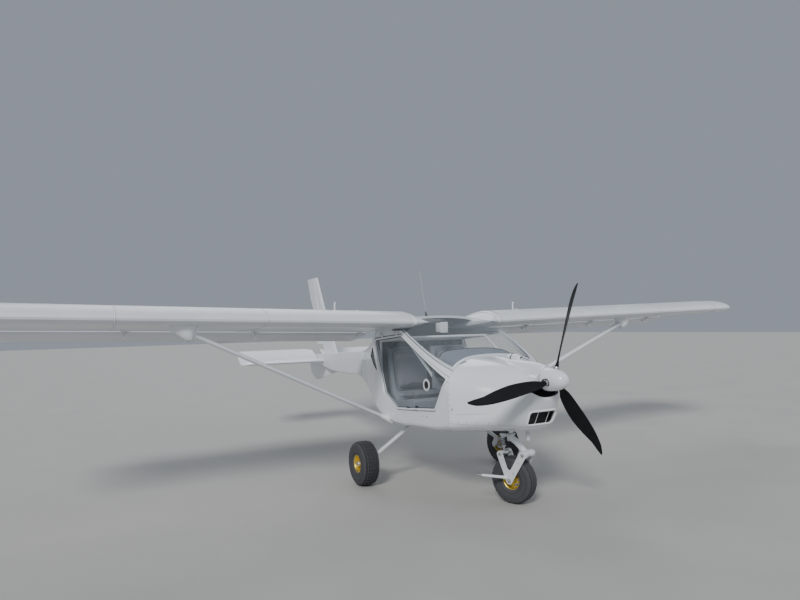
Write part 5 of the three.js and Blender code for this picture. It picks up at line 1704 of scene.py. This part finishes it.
    def wave(self, share: float, turn: int) -> float:
        """Return how far the tread swings sideways at a share of its width and a step round."""
        way = self.swing if turn % 4 < 2 else -self.swing
        return (1 - share ** 4) * way if self.zigzag else 0.0

    def crown(self, share: float) -> float:
        """Return the tread's radius at a share of its half width."""
        depth = self.radius - self.bead_radius
        return self.radius - depth * (0.045 * share ** 2 + 0.03 * share ** 6)


@dataclass
class MainGear:
    """Both main legs with their wheels and brakes."""

    x: float = 888.0
    s: float = 2075.0
    radius: float = 219.0

    def build(self) -> None:
        """Make both sides."""
        for name, side in SIDES:
            body = f"main_wheel_{name}"
            wheel = Wheel((side * self.x, self.s, self.radius), self.radius, 178.0, 66.0, True)
            wheel.tyre(f"main_tread_tyre_{name}", body, f"main_tyre_{name}")
            wheel.rim(f"main_lobed_rim_{name}", body, f"main_rim_{name}", 4)
            self.leg(name, side)

    def leg(self, name: str, side: float) -> None:
        """Make one spring leg with its knuckle, axle and brake.

        Args: name and side say which leg.
        """
        path = ((300, 1978, 622), (470, 1997.4, 503.5), (640, 2016.8, 385.1), (740, 2028.3, 316.7),
                (760, 2032, 297), (767, 2040, 277), (771, 2060, 240), (771, 2075, 219))
        sizes = ((38, 12), (37, 12), (35, 11.5), (33, 11.5), (32, 11.5), (31, 11.5), (31, 11.5),
                 (30, 11.5))
        sweep([(x * side, s, z) for x, s, z in path], sizes, (0, 1, -0.2), 5.0, 28, 2).piece(
            f"main_spring_leg_{name}", PALE_METAL, node=f"main_leg_{name}", smooth=45)

        def on(x: float, aft: float = 0.0, up: float = 0.0) -> Vector:
            """Return a point at a distance out, aft of the axle's line and above it."""
            return Vector((side * x, self.s + aft, self.radius + up))

        def box(near: float, far: float, aft: tuple[float, float], half: float, bevel: float
                ) -> Shape:
            """Return a block beside the wheel.

            Args: near and far are its distances out; aft holds those behind the axle; half is
                half its height; bevel eases its edges.
            Returns: the shape.
            """
            x0, x1 = span(side, near, far)
            return Shape().block((x0, self.s + aft[0], self.radius - half),
                                 (x1, self.s + aft[1], self.radius + half), bevel)

        end = self.x + 60
        hub = Shape().lathe(((0, 0), (30, 0), (34, 3), (34, 23), (31, 26), (0, 26)), on(757),
                            (side, 0, 0), 40)
        hub.rod(on(782), on(end), 13.6, sides=32).piece(
            f"main_axle_{name}", ALLOY, smooth=40, bevel=0.6)
        nut = Shape().rod(on(end), on(end + 12), 17, sides=6)
        nut.rod(on(end + 10), on(end + 22), 8, 7).piece(f"main_axle_nut_{name}", STEEL)
        Shape().lathe(((33, -2), (62, -2), (62, 2), (33, 2), (33, -2)), on(838), (side, 0, 0),
                      64).piece(f"brake_disc_{name}", STEEL, f"main_wheel_{name}", smooth=40)
        box(786, 834, (34, 62), 16, 4).rod(on(780, 46), on(790, 46), 12, sides=24).piece(
            f"brake_caliper_{name}", ENGINE)
        box(783, 786, (-6, 60), 14, 1).piece(f"brake_bracket_{name}", ALLOY)
        place = Vector((side * 322, 1980, 604))
        root = Shape().block(place - Vector((44, 54, 9)), place + Vector((40, 54, 3)), 4,
                             Matrix.Rotation(math.radians(side * 6), 4, "Y"))
        for shift in (-40, 40):
            root.stud(place + Vector((-side * 26, shift, -10)), (0, 0, -1), 0, 6, 6.5, sides=6)
        root.piece(f"main_leg_clamp_{name}", PALE_METAL)


@dataclass
class NoseGear:
    """The steered nose gear: post, arm, fork, shock strut, pegs and wheel."""

    steer: float = 824.0
    turn: float = 19.5
    s: float = 804.0
    radius: float = 208.0
    front: Point = (665.0, 448.0)
    rear: Point = (895.0, 432.0)
    plate: float = 76.0
    thick: float = 8.0

    def build(self) -> None:
        """Make every piece of the nose gear."""
        trail = self.s - self.steer
        angle = math.radians(self.turn)
        centre = (-trail * math.sin(angle), self.steer + trail * math.cos(angle), self.radius)
        wheel = Wheel(centre, self.radius, 129.0, 42.0, False, self.turn)
        wheel.tyre("nose_ribbed_tyre", "nose_wheel", "nose_tyre")
        wheel.rim("nose_lobed_rim", "nose_wheel", "nose_rim", 3)
        self.fork()
        self.arm()
        self.shock()
        self.post()

    def plate_outline(self) -> list[tuple[float, float]]:
        """Return the V-shaped side plate's outline in side view."""
        s, z = self.s, self.radius
        notch = [(s - 24, z + 112), (s - 6, z + 92), (s + 16, z + 108)]
        return (arc(self.front, 35, 210, 30, 12) + notch + arc(self.rear, 29, 150, -20, 12)
                + arc((s, z), 30, -20, -160, 10))

    def fork(self) -> None:
        """Make both side plates, their pins, bolts and tow pegs."""
        ears, pins, bolts, pegs, tips = (Shape() for _ in range(5))
        axle = (self.s, self.radius)
        for name, side in SIDES:
            self.keep(Shape().plate(self.plate_outline(), in_side,
                                    *span(side, self.plate, self.plate + self.thick)),
                      f"fork_plate_{name}", PALE_METAL, "nose_fork", bevel=1.4)
            for centre, eye, start, end in ((self.front, 31, 20, 235), (self.rear, 25, -55, 160)):
                ears.plate(arc(centre, eye + 4, start, end, 24) + arc(centre, eye, end, start, 24),
                           in_side, *span(side, 36, 83))
            for (s, z), r in ((self.front, 17), (self.rear, 14), (axle, 19)):
                for low, high, near, far, sides in ((84, 86.5, r, r, 32),
                                                    (86, 94, r * 0.72, r * 0.72, 6),
                                                    (93, 99, r * 0.36, r * 0.3, 16)):
                    bolts.rod((side * low, s, z), (side * high, s, z), near, far, sides)
            for t in (0.3, 0.7):
                s, z = lerp(self.front[0], self.s, t), lerp(self.front[1], self.radius, t)
                bolts.rod((side * 84, s, z), (side * 87.5, s, z), 6, 5, 16)
            start, end = Vector((side * 80, 834, 235)), Vector((side * 275, 1024, 271))
            for shape, low, high, near, far in ((pegs, 0, 0.82, 13, 11), (pegs, 0, 0.06, 19, 17),
                                                (tips, 0.82, 1, 10.4, 9.6),
                                                (tips, 0.82, 0.86, 12.6, 12.2)):
                shape.rod(start.lerp(end, low), start.lerp(end, high), near, far, 28)
            pins.rod((side * 52, *axle), (side * 76, *axle), 20, sides=28)
        for centre in (self.front, self.rear, axle):
            pins.rod((-88, *centre), (88, *centre), 13.5, sides=32)
        self.keep(ears, "fork_ears", PALE_METAL)
        self.keep(pins, "fork_pins", STEEL, smooth=32)
        self.keep(bolts, "fork_bolts", STEEL, smooth=32)
        self.keep(pegs, "tow_pegs", WHITE)
        self.keep(tips, "tow_peg_tips", STEEL)

    def arm(self) -> None:
        """Make the swinging arm with its head, front eye and lug."""
        s, z = self.front
        arm = sweep([(0, self.steer + 14, 584), (0, 770, 546), (0, 715, 498), (0, s + 6, z + 4)],
                    [(29, 21), (29, 21), (28, 20), (26, 20)], (1, 0, 0), 6.0, 28, 3)
        self.keep(arm, "nose_arm_tube", WHITE, "nose_arm", 45)
        outline = ((0, 548), (31, 548), (34, 551), (34, 560), (31, 563), (31, 600), (34, 603),
                   (34, 609), (31, 611.6), (0, 611.6))
        head = Shape().lathe(outline, (0, self.steer, 0), (0, 0, 1), 40)
        self.keep(head.block((-13, self.steer + 20, 579), (13, 934, 604), 4), "nose_arm_head",
                  PALE_METAL)
        half = ((14.6, -46), (27, -46), (30, -43), (30, -34), (26, -30))
        eye = (*half, *((r, -x) for r, x in reversed(half)), half[0])
        self.keep(Shape().lathe(eye, (0, s, z), (1, 0, 0), 40), "nose_arm_eye", PALE_METAL)

    def shock(self) -> None:
        """Make the shock strut: rod, body, coil and end eyes."""
        s, z = self.rear
        low, high = Vector((0, s + 2, z + 20)), Vector((0, 916, 577))
        eye = Shape().lathe(((14.6, -28), (22, -28), (24, -26), (24, 26), (22, 28), (14.6, 28),
                             (14.6, -28)), (0, s, z), (1, 0, 0), 36)
        self.keep(eye.rod(low, low.lerp(high, 0.35), 11, sides=28), "shock_lower_eye", STEEL,
                  "nose_shock")
        case = Shape()
        for start, end, radius, sides in ((0.3, 0.9, 16, 32), (0.28, 0.33, 22, 32),
                                          (0.88, 0.93, 22, 32), (0.93, 1, 10, 24)):
            case.rod(low.lerp(high, start), low.lerp(high, end), radius, sides=sides)
        self.keep(case, "shock_body", ALLOY)
        side = Vector((1, 0, 0))
        up = (high - low).normalized().cross(side)
        coil, turns = [], 5
        for t in spread(0, 1, turns * 16):
            angle = 2 * math.pi * turns * t
            coil.append(low.lerp(high, 0.34 + 0.54 * t)
                        + (side * math.cos(angle) + up * math.sin(angle)) * 20)
        self.keep(Shape().tube(coil, 3.2, 8), "shock_spring", GRIP, smooth=60)

    def post(self) -> None:
        """Make the fixed steering post, its plate and the steering horn."""
        post = Shape().lathe(((0, 612.2), (17, 612.2), (20, 615), (20, 770), (0, 770)),
                             (0, self.steer, 0), (0, 0, 1), 36)
        outline = ((832, 672), (941.6, 672), (941.6, 770), (832, 770))
        post.plate(rounded(outline, 8, 4, 1), in_side, -26, 26, 1.5).piece(
            "nose_post_tube", ALLOY, node="nose_post", smooth=40)
        bar = Shape().block((-70, self.steer - 9, 596), (70, self.steer + 9, 606), 3)
        for x in (-60, 60):
            bar.rod((x, self.steer, 590), (x, self.steer, 611), 8, sides=6)
        self.keep(bar, "steering_horn", STEEL, smooth=32)

    def keep(self, shape: Shape, name: str, finish: Finish, node: str = "", smooth: float = 40.0,
             bevel: float = 0.0) -> None:
        """Turn a shape that is drawn straight ahead about the steering axis and finish it.

        Args: shape is used up; the others are as for a piece.
        """
        place = Matrix.Translation((0, self.steer, 0))
        turn = Matrix.Rotation(math.radians(self.turn), 4, "Z")
        shape.bm.transform(place @ turn @ place.inverted())
        shape.piece(name, finish, "nose_gear", node, smooth, bevel)


@dataclass
class Propeller:
    """Three scimitar blades, their hub and ferrules, and the spinner."""

    station: float = 248.0
    height: float = 1136.0
    first: float = 72.3
    back: float = 312.0
    tip: float = 108.0
    flatten: float = 0.252
    rows: Sequence[Sequence[float]] = (
        (84, 40, 37, 0, 52), (115, 46, 34, 0, 50), (140, 62, 27, -3, 48), (170, 84, 21, -8, 46),
        (220, 98, 18, -14, 44), (280, 108, 16, -20, 42), (350, 114, 14, -26, 40),
        (430, 118, 13, -30, 38), (510, 110, 11.5, -31, 35), (580, 100, 10, -32, 32),
        (640, 86, 9, -32, 28), (700, 70, 8, -34, 24), (750, 60, 7.4, -40, 21),
        (790, 51, 6.5, -47, 19), (820, 36, 5.6, -54, 18), (842, 24, 4.6, -60, 17),
        (854, 16, 3.6, -64, 16), (857, 10, 2.4, -66, 16))

    def build(self) -> None:
        """Make blades, hub and spinner."""
        blades, hub, rings = Shape(), Shape(), Shape()
        for k in range(3):
            degrees = self.first + 120 * k
            self.blade(blades, degrees)
            out = self.out(degrees)
            hub.stud(self.centre, out, 0, 88, 26, sides=36)
            rings.stud(self.centre, out, -84, 104, 25, 22, 36)
            rings.stud(self.centre, out, -90, 95, 27.5, sides=36)
        blades.piece("propeller_blades", BLADE, "propeller", "propeller", 40)
        hub.lathe(((0, -38), (48, -38), (52, -34), (52, 50), (48, 53), (0, 53)), self.centre,
                  (0, 1, 0)).piece("propeller_hub", ENGINE, "propeller", smooth=40)
        rings.piece("blade_ferrules", STEEL, "propeller", smooth=40)
        self.spinner()

    def blade(self, shape: Shape, degrees: float) -> None:
        """Add one blade to a shape.

        Args: shape takes it; degrees is its direction seen from behind.
        """
        out, turning = self.out(degrees), self.out(degrees + 90)
        rings = []
        for radius, chord, thick, swept, pitch in self.rows:
            chordwise = turning * math.cos(math.radians(pitch))
            chordwise.y -= math.sin(math.radians(pitch))
            facing = chordwise.cross(out)
            middle = self.centre + out * radius + chordwise * swept
            flat = self.flatten * min(max((radius - 84) / 90, 0.0), 1.0)
            rings.append([middle + chordwise * (chord / 2 * c)
                          + facing * (thick / 2 * s * (1 - flat * (1 - c)))
                          for c, s in arc((0, 0), 1, 0, 360, 28)[:-1]])
        shape.add(skin_rings(rings, 2))

    def spinner(self) -> None:
        """Make the spinner with its blade cut-outs, back plate and screws."""
        outer = ((0, 0), (12, 0.8), (22, 2.7), (32, 6.4), (41, 12), (50, 20), (58, 30), (66, 42),
                 (72.5, 55), (78, 70), (83, 87), (87, 106), (90.5, 125), (94, 148), (97, 170),
                 (99, 188), (100, 204))
        profile = [(r, s + self.tip) for r, s in outer] + [(97, self.back)]
        profile += [(max(r - 3, 0), s + self.tip + 3) for r, s in reversed(outer[:-1])]
        tools, screws = [], Shape()
        for k in range(3):
            degrees = self.first + 120 * k
            out = self.out(degrees)
            for aft, radius in ((0, 34), (16, 30)):
                tools.append(Shape().stud(self.centre + Vector((0, aft, 0)), out, -55, 130, radius,
                                          sides=40))
            for turn in (32, 60, 88):
                out = self.out(degrees + turn)
                screws.stud(Vector((0, 303, self.height)) + out * 98.6, out, 0, 1.9, 4.4, 3.4, 16)
        Shape().lathe(profile, (0, 0, self.height), (0, 1, 0), 96).close().carve(*tools).piece(
            "spinner_shell", WHITE, "propeller", "spinner", 34)
        # The back plate is black, and its black also stands for painted shade in the gap between
        # spinner and cowl.
        Shape().lathe(((38, 302), (96.5, 302), (96.5, 311), (38, 311), (38, 302)),
                      (0, 0, self.height), (0, 1, 0), 72).piece(
            "spinner_back_plate", DARK, "propeller", smooth=40)
        screws.piece("spinner_screws", STEEL, "propeller")

    @property
    def centre(self) -> Vector:
        """Return the hub's centre."""
        return Vector((0, self.station, self.height))

    @staticmethod
    def out(degrees: float) -> Vector:
        """Return the direction outwards at an angle seen from behind."""
        return Vector((math.cos(math.radians(degrees)), 0, math.sin(math.radians(degrees))))


@dataclass
class Engine:
    """What shows of the engine through the openings, and the firewall."""

    def build(self) -> None:
        """Make the engine's visible forms."""
        block, mounts = Shape().block((-150, 602, 792), (150, 898, 1083), 18), Shape()
        for _, side in SIDES:
            for s in (676, 806):
                for start in spread(s - 50, s + 46, 8):
                    x0, x1 = span(side, 148, 182)
                    block.block((x0, start, 860), (x1, start + 5, 980), 1)
                block.rod((side * 148, s, 920), (side * 189, s, 920), 34, sides=32)
            for z in (830, 1060):
                mounts.rod((side * 140, 880, z), (side * 170, 941.8, z), 10, sides=24)
                mounts.rod((side * 170, 932, z), (side * 170, 941.8, z), 18, sides=24)
        block.rod((0, 402, 1136), (0, 618, 1136), 59, sides=48)
        block.block((-60, 541, 900), (60, 618, 1112), 16)
        block.piece("engine_casing", ENGINE, node="engine_block", smooth=40)
        mounts.piece("engine_mounts", STEEL)
        shaft = Shape().rod((0, 303, 1136), (0, 420, 1136), 25.5, sides=32)
        shaft.rod((0, 316, 1136), (0, 326, 1136), 48, sides=48).piece("propeller_shaft", STEEL)
        wall = bpy.data.objects.get(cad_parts["firewall"].name)
        wall.material_slots[0].material = ALLOY.material()


@dataclass
class Interior:
    """What shows through the windows: hood, panel, controls, seats, tubes and linings."""

    def build(self) -> None:
        """Make every piece of the interior."""
        self.hood()
        self.panel()
        self.stick()
        self.tubes()
        self.linings()
        self.seats()

    def hood(self) -> None:
        """Make the glare shield that covers the panel."""
        def at(u: float, v: float) -> Vector:
            """Return a point of the dome at a share across and along, over and back under."""
            share = 1 - abs(1 - v * 2)
            thin = 0.0 if v <= 0.5 else 7.0
            side, rise = power(math.cos(math.pi * u), 0.5), math.sin(math.pi * u) ** 0.5
            half = lerp(452, 432, share) - thin
            low = lerp(1168, 1232, share)
            top = lerp(1280, 1362, share) - thin
            return Vector((half * side, lerp(1006, 1256, share) + 142 * rise ** 1.5 * share,
                           low + (top - 16 * side ** 2 - low) * rise))

        Shape().skin(72, 36, at).piece("glare_shield", HOOD, smooth=50)
        Shape().tube([at(u, 0.5) for u in spread(0, 1, 72)], 6.0).piece(
            "glare_shield_edge", GRIP, smooth=60)

    def panel(self) -> None:
        """Make the instrument panel with its dials, screens and switches."""
        outline = ((-536, 1016), (536, 1016), (536, 1200), (500, 1262), (430, 1306), (-430, 1306),
                   (-500, 1262), (-536, 1200))
        Shape().plate(rounded(outline, 14, 4, 2), in_front, 1264, 1284, 1.5).piece(
            "panel_face", PANEL, node="instrument_panel", smooth=40)
        rims, glasses, marks, shelf = (Shape() for _ in range(4))
        for x, z, r in ((-360, 1225, 40), (-262, 1225, 40), (-360, 1128, 40), (-262, 1128, 40),
                        (262, 1225, 40), (360, 1225, 40), (262, 1128, 32), (345, 1128, 32)):
            rims.lathe(((r - 5, 0), (r + 4, 0), (r + 5, 2), (r + 3, 6), (r - 4, 6), (r - 6, 3),
                        (r - 5, 0)), (x, 1284, z), (0, 1, 0), 36)
            glasses.rod((x, 1284.2, z), (x, 1286.5, z), r - 5, sides=36)
            marks.block((x - 1.6, 1286.4, z - 2), (x + 1.6, 1288, z + r - 13), 0.4,
                        Matrix.Rotation(0.7 + 0.013 * x, 4, "Y"))
            for a, b in arc((x, z), r - 10, 0, 360, 8)[:-1]:
                marks.rod((a, 1286.4, b), (a, 1287.4, b), 1.6, sides=8)
        for x0, x1, z0, z1 in ((-170, 60, 1120, 1262), (92, 196, 1168, 1262)):
            rims.block((x0, 1284, z0), (x1, 1296, z1), 4)
            glasses.block((x0 + 12, 1295, z0 + 12), (x1 - 12, 1297.5, z1 - 12), 0.6)
        for x in spread(-180, 172, 8):
            rims.rod((x, 1284, 1062), (x, 1292, 1062), 9)
            marks.rod((x, 1291, 1062), (x, 1308, 1068), 3.2, 2.6, 12)
        rims.piece("dial_rims", GRIP, smooth=40)
        glasses.piece("dial_glasses", DARK, smooth=40)
        marks.piece("dial_marks", PALE_METAL)
        for z in (1192, 1100):
            shelf.block((-500, 1040, z - 4), (500, 1262, z), 1)
        shelf.piece("panel_shelf", ALLOY)

    def stick(self) -> None:
        """Make the central control stick with its yoke and grips."""
        post = Shape().tube([(0, 1560, 640), (0, 1548, 720), (0, 1530, 830), (0, 1512, 910),
                             (0, 1500, 958)], 12, 24)
        post.rod((-118, 1500, 960), (118, 1500, 960), 10, sides=24)
        grips = Shape()
        grip = ((0, 0), (13, 0), (15, 4), (14, 20), (15.5, 34), (14, 50), (15.5, 64), (14.4, 80),
                (16, 98), (13, 108), (0, 110.4))
        for _, side in SIDES:
            post.tube([(side * 112, 1500, 960), (side * 124, 1500, 962), (side * 130, 1500, 972),
                       (side * 130, 1499, 992)], 9.4, 20)
            grips.lathe(grip, (side * 130, 1500, 968), Vector((0, -11, 110)).normalized(), 28)
        post.piece("stick_tube", ALLOY, node="control_stick", smooth=50)
        grips.piece("stick_grips", GRIP, smooth=55)
        box = Shape().block((-40, 1510, 606.5), (40, 1610, 646), 5)
        box.lathe(((15, 0), (34, 0), (30, 8), (24, 12), (25, 18), (18, 22), (15, 24), (15, 0)),
                  (0, 1560, 646), (0, 0, 1), 28).piece("stick_foot", GRIP, smooth=40)

    def tubes(self) -> None:
        """Make the cabin's tube frame with its end plates."""
        tubes, half = Shape(), 540
        front, top, foot = (1850, 1478), (2330, 1440), (2330, 800)
        for reach, place in ((half, front), (half, top), (560, foot)):
            tubes.rod((-reach, *place), (reach, *place), 14, sides=28)
        ball = [(v * 18, -u * 18) for u, v in arc((0, 0), 1, 0, 180, 12)]
        for _, side in SIDES:
            for x, start, end, radius in ((half, foot, top, 14), (half, front, top, 14),
                                          (500, (1850, 1484), (1330, 1131), 14),
                                          (500, (1346, 1142), (1328, 1129), 18)):
                tubes.rod((side * x, *start), (side * x, *end), radius, sides=28)
            for end in (front, top, foot):
                tubes.lathe(ball, (side * half, *end), (1, 0, 0), 24)
            for near, far, low, high in ((434, 514, (1264, 1112), (1280, 1150)),
                                         (488, 512, (1264, 1114), (1340, 1148))):
                x0, x1 = span(side, near, far)
                tubes.block((x0, *low), (x1, *high), 2)
        tubes.piece("cabin_tube_frame", BODY_WHITE, node="cabin_tubes", smooth=40)

    def linings(self) -> None:
        """Make the floor, roof box, rear cloth wall and the centre console."""
        roof = Shape().block((-44, 1886, 1524), (40, 1990, 1626), 8)
        roof.block((-48, 1879, 1518), (44, 1887, 1632), 3).piece("roof_box", BODY_WHITE, smooth=40)

        def under(u: float, v: float) -> Vector:
            """Return a point of the floor board at a share across and along."""
            s = lerp(1100, 2480, v)
            reach = abs(CABIN.point(s, 0.22, 30).x)
            return Vector((lerp(-reach, reach, u), s, CABIN.point(s, 0.02, 26).z + 6))

        def wall(u: float, v: float) -> Vector:
            """Return a point of the cloth wall behind the seats."""
            x = lerp(-515, 515, u)
            sag = 34 * math.sin(math.pi * v) * (1 - (x / 515) ** 4)
            fold = 3.5 * math.sin(u * 34) * (0.3 + 0.7 * v)
            return Vector((x, 2346 + sag + fold, lerp(815, 1440, v)))

        Shape().skin(12, 24, under).piece("cabin_floor_board", PANEL, wall=-4.0)
        cloth = Shape().skin(96, 30, wall).piece("rear_cloth_wall", REAR_CLOTH, smooth=60, wall=2.0)
        console = Shape().block((-38, 1620, 640), (38, 2080, 800), 14)
        console.rod((0, 1700, 800), (0, 1690, 900), 6, sides=16)
        console.rod((0, 1691, 888), (0, 1688, 918), 13, 11, 24).piece(
            "centre_console", PANEL, smooth=40)

    def seats(self) -> None:
        """Make both seats: shells and cushions."""
        outline = ((1696, 604), (1704, 846), (1742, 866), (2066, 818), (2146, 896), (2238, 1354),
                   (2266, 1374), (2284, 1340), (2196, 842), (2098, 604))
        for name, side in SIDES:
            Shape().plate(rounded(outline, 16, 4, 6), in_side, *span(side, 44, 496), 6).piece(
                f"seat_shell_{name}", PANEL, node=f"seat_{name}", smooth=40)
        self.cushion("base", (1712, 896), (2072, 850), (410, 44))
        self.cushion("back", (2118, 912), (2206, 1340), (400, 40))

    def cushion(self, label: str, start: tuple[float, float], end: tuple[float, float],
                size: tuple[float, float]) -> None:
        """Make one pad for both seats with its piping.

        Args: label names it; start and end are its middle line in side view; size is its width
            and thickness.
        """
        way = Vector((0, end[0] - start[0], end[1] - start[1]))
        up = Vector((1, 0, 0)).cross(way.normalized())
        middle = Vector((270, (start[0] + end[0]) / 2, (start[1] + end[1]) / 2)) + up * 6
        half = (size[0] / 2, way.length / 2, size[1] / 2)
        turn = Matrix((Vector((1, 0, 0)), way.normalized(), up)).transposed().to_4x4()

        def at(u: float, v: float) -> Vector:
            """Return a point of the pad's rounded box."""
            across, rise = 2 * math.pi * u, math.pi * (v - 0.5)
            flat = max(math.cos(rise), 0.0) ** 0.45
            return Vector((half[0] * power(math.cos(across), 0.28) * flat,
                           half[1] * power(math.sin(across), 0.28) * flat,
                           half[2] * power(math.sin(rise), 0.8)))

        shape = Shape().skin(72, 18, at)
        bmesh.ops.remove_doubles(shape.bm, verts=shape.bm.verts, dist=0.05)
        bmesh.ops.recalc_face_normals(shape.bm, faces=shape.bm.faces)
        self.inflate(shape, 26.0)
        for name, side in SIDES:
            place = Matrix.Translation(flip(middle, side)) @ turn
            pad = Shape()
            pad.bm = shape.bm.copy()
            pad.bm.transform(place)
            pad.piece(f"seat_{label}_cushion_{name}", SEAT, smooth=80)
            path = [place @ (at(k / 72, 0.5) * 1.02) for k in range(72)]
            Shape().tube(path, 3.6, 8, closed=True).piece(
                f"seat_{label}_piping_{name}", STRAP, smooth=60)
        shape.bm.free()

    @staticmethod
    def inflate(shape: Shape, cap: float) -> None:
        """Blow a pad up with a short cloth simulation.

        Args: shape is the closed pad; cap is how far a point may move, in millimetres.
        """
        mesh = bpy.data.meshes.new("pad_start")
        shape.bm.transform(Matrix.Scale(0.001, 4))
        shape.bm.to_mesh(mesh)
        pad = bpy.data.objects.new("pad_start", mesh)
        bpy.context.scene.collection.objects.link(pad)
        remesh = pad.modifiers.new("even", "REMESH")
        remesh.mode = "VOXEL"
        remesh.voxel_size = 0.008
        depsgraph = bpy.context.evaluated_depsgraph_get()
        even = bpy.data.meshes.new_from_object(pad.evaluated_get(depsgraph))
        pad.modifiers.clear()
        pad.data = even
        start = [vert.co.copy() for vert in even.vertices]
        cloth = pad.modifiers.new("cloth", "CLOTH")
        cloth.settings.use_pressure = True
        cloth.settings.uniform_pressure_force = 4.0
        cloth.settings.effector_weights.gravity = 0.0
        cloth.settings.quality = 5
        scene = bpy.context.scene
        for step in range(1, 21):
            scene.frame_set(step)
        depsgraph = bpy.context.evaluated_depsgraph_get()
        blown = pad.evaluated_get(depsgraph).to_mesh()
        shape.bm.free()
        shape.bm = bmesh.new()
        shape.bm.from_mesh(blown)
        shape.bm.verts.ensure_lookup_table()
        for vert, before in zip(shape.bm.verts, start):
            move = (vert.co - before) * 1000
            if move.length > cap:
                move *= cap / move.length
            vert.co = before + move / 1000
        scene.frame_set(1)
        bpy.data.objects.remove(pad)
        shape.bm.transform(Matrix.Scale(1000, 4))


@dataclass
class Studio:
    """The pale floor, the soft light and the photo's point of view."""

    location: tuple[float, float, float] = (-3.339, -6.479, 1.609)
    yaw: float = 28.3985
    pitch: float = 2.5026
    roll: float = -1.2878
    lens: float = 25.84

    def build(self) -> None:
        """Set the stage, the lights and the camera."""
        self.floor()
        self.lights()
        self.camera()

    def floor(self) -> None:
        """Lay the pale floor."""
        bm = bmesh.new()
        bmesh.ops.create_grid(bm, x_segments=8, y_segments=8, size=60.0)
        mesh = bpy.data.meshes.new("studio_floor")
        bm.to_mesh(mesh)
        bm.free()
        mesh.materials.append(FLOOR.material())
        floor = bpy.data.objects.new("studio_floor", mesh)
        bpy.context.scene.collection.objects.link(floor)

    def lights(self) -> None:
        """Set the soft key and fill lights and the pale world."""
        for name, way, power, soft, colour in (
                ("key", (0.62, 0.62, -0.62), 2.3, 14.0, (1.0, 0.985, 0.96)),
                ("fill", (-0.8, 0.45, -0.4), 0.5, 60.0, (0.92, 0.96, 1.0)),
                ("back", (-0.2, -0.8, -0.6), 0.7, 40.0, (0.95, 0.97, 1.0))):
            light = bpy.data.lights.new(name, "SUN")
            light.angle = math.radians(soft)
            light.energy = power
            light.color = colour
            lamp = bpy.data.objects.new(name, light)
            lamp.location = Vector(way) * -12.0
            lamp.rotation_euler = Vector(way).to_track_quat("-Z", "Y").to_euler()
            bpy.context.scene.collection.objects.link(lamp)
        world = bpy.data.worlds.new("studio")
        world.use_nodes = True
        background = world.node_tree.nodes["Background"]
        background.inputs["Color"].default_value = (0.70, 0.78, 0.90, 1.0)
        background.inputs["Strength"].default_value = 0.4
        bpy.context.scene.world = world

    def camera(self) -> None:
        """Set the camera where the photographer stood."""
        yaw, pitch, roll = (math.radians(a) for a in (self.yaw, self.pitch, self.roll))
        forward = Vector((math.sin(yaw) * math.cos(pitch), math.cos(yaw) * math.cos(pitch),
                          math.sin(pitch)))
        right = Vector((math.cos(yaw), -math.sin(yaw), 0.0))
        up = right.cross(forward)
        right, up = (right * math.cos(roll) + up * math.sin(roll),
                     up * math.cos(roll) - right * math.sin(roll))
        lens = bpy.data.cameras.new("photo_camera")
        lens.lens = self.lens
        lens.sensor_width = 36.0
        lens.sensor_fit = "HORIZONTAL"
        camera = bpy.data.objects.new("photo_camera", lens)
        camera.matrix_world = Matrix.Translation(self.location) @ \
            Matrix((right, up, -forward)).transposed().to_4x4()
        bpy.context.scene.collection.objects.link(camera)
        bpy.context.scene.camera = camera


def main() -> None:
    """Build every sub-assembly and the studio."""
    logging.basicConfig(level=logging.INFO, format="%(name)s: %(message)s")
    for part in (Cowl(), Cabin(), Doors(), Wing(), Tail(), MainGear(), NoseGear(), Propeller(),
                 Engine(), Interior(), Studio()):
        LOG.info("building %s", type(part).__name__)
        part.build()


if __name__ == "__main__":
    main()
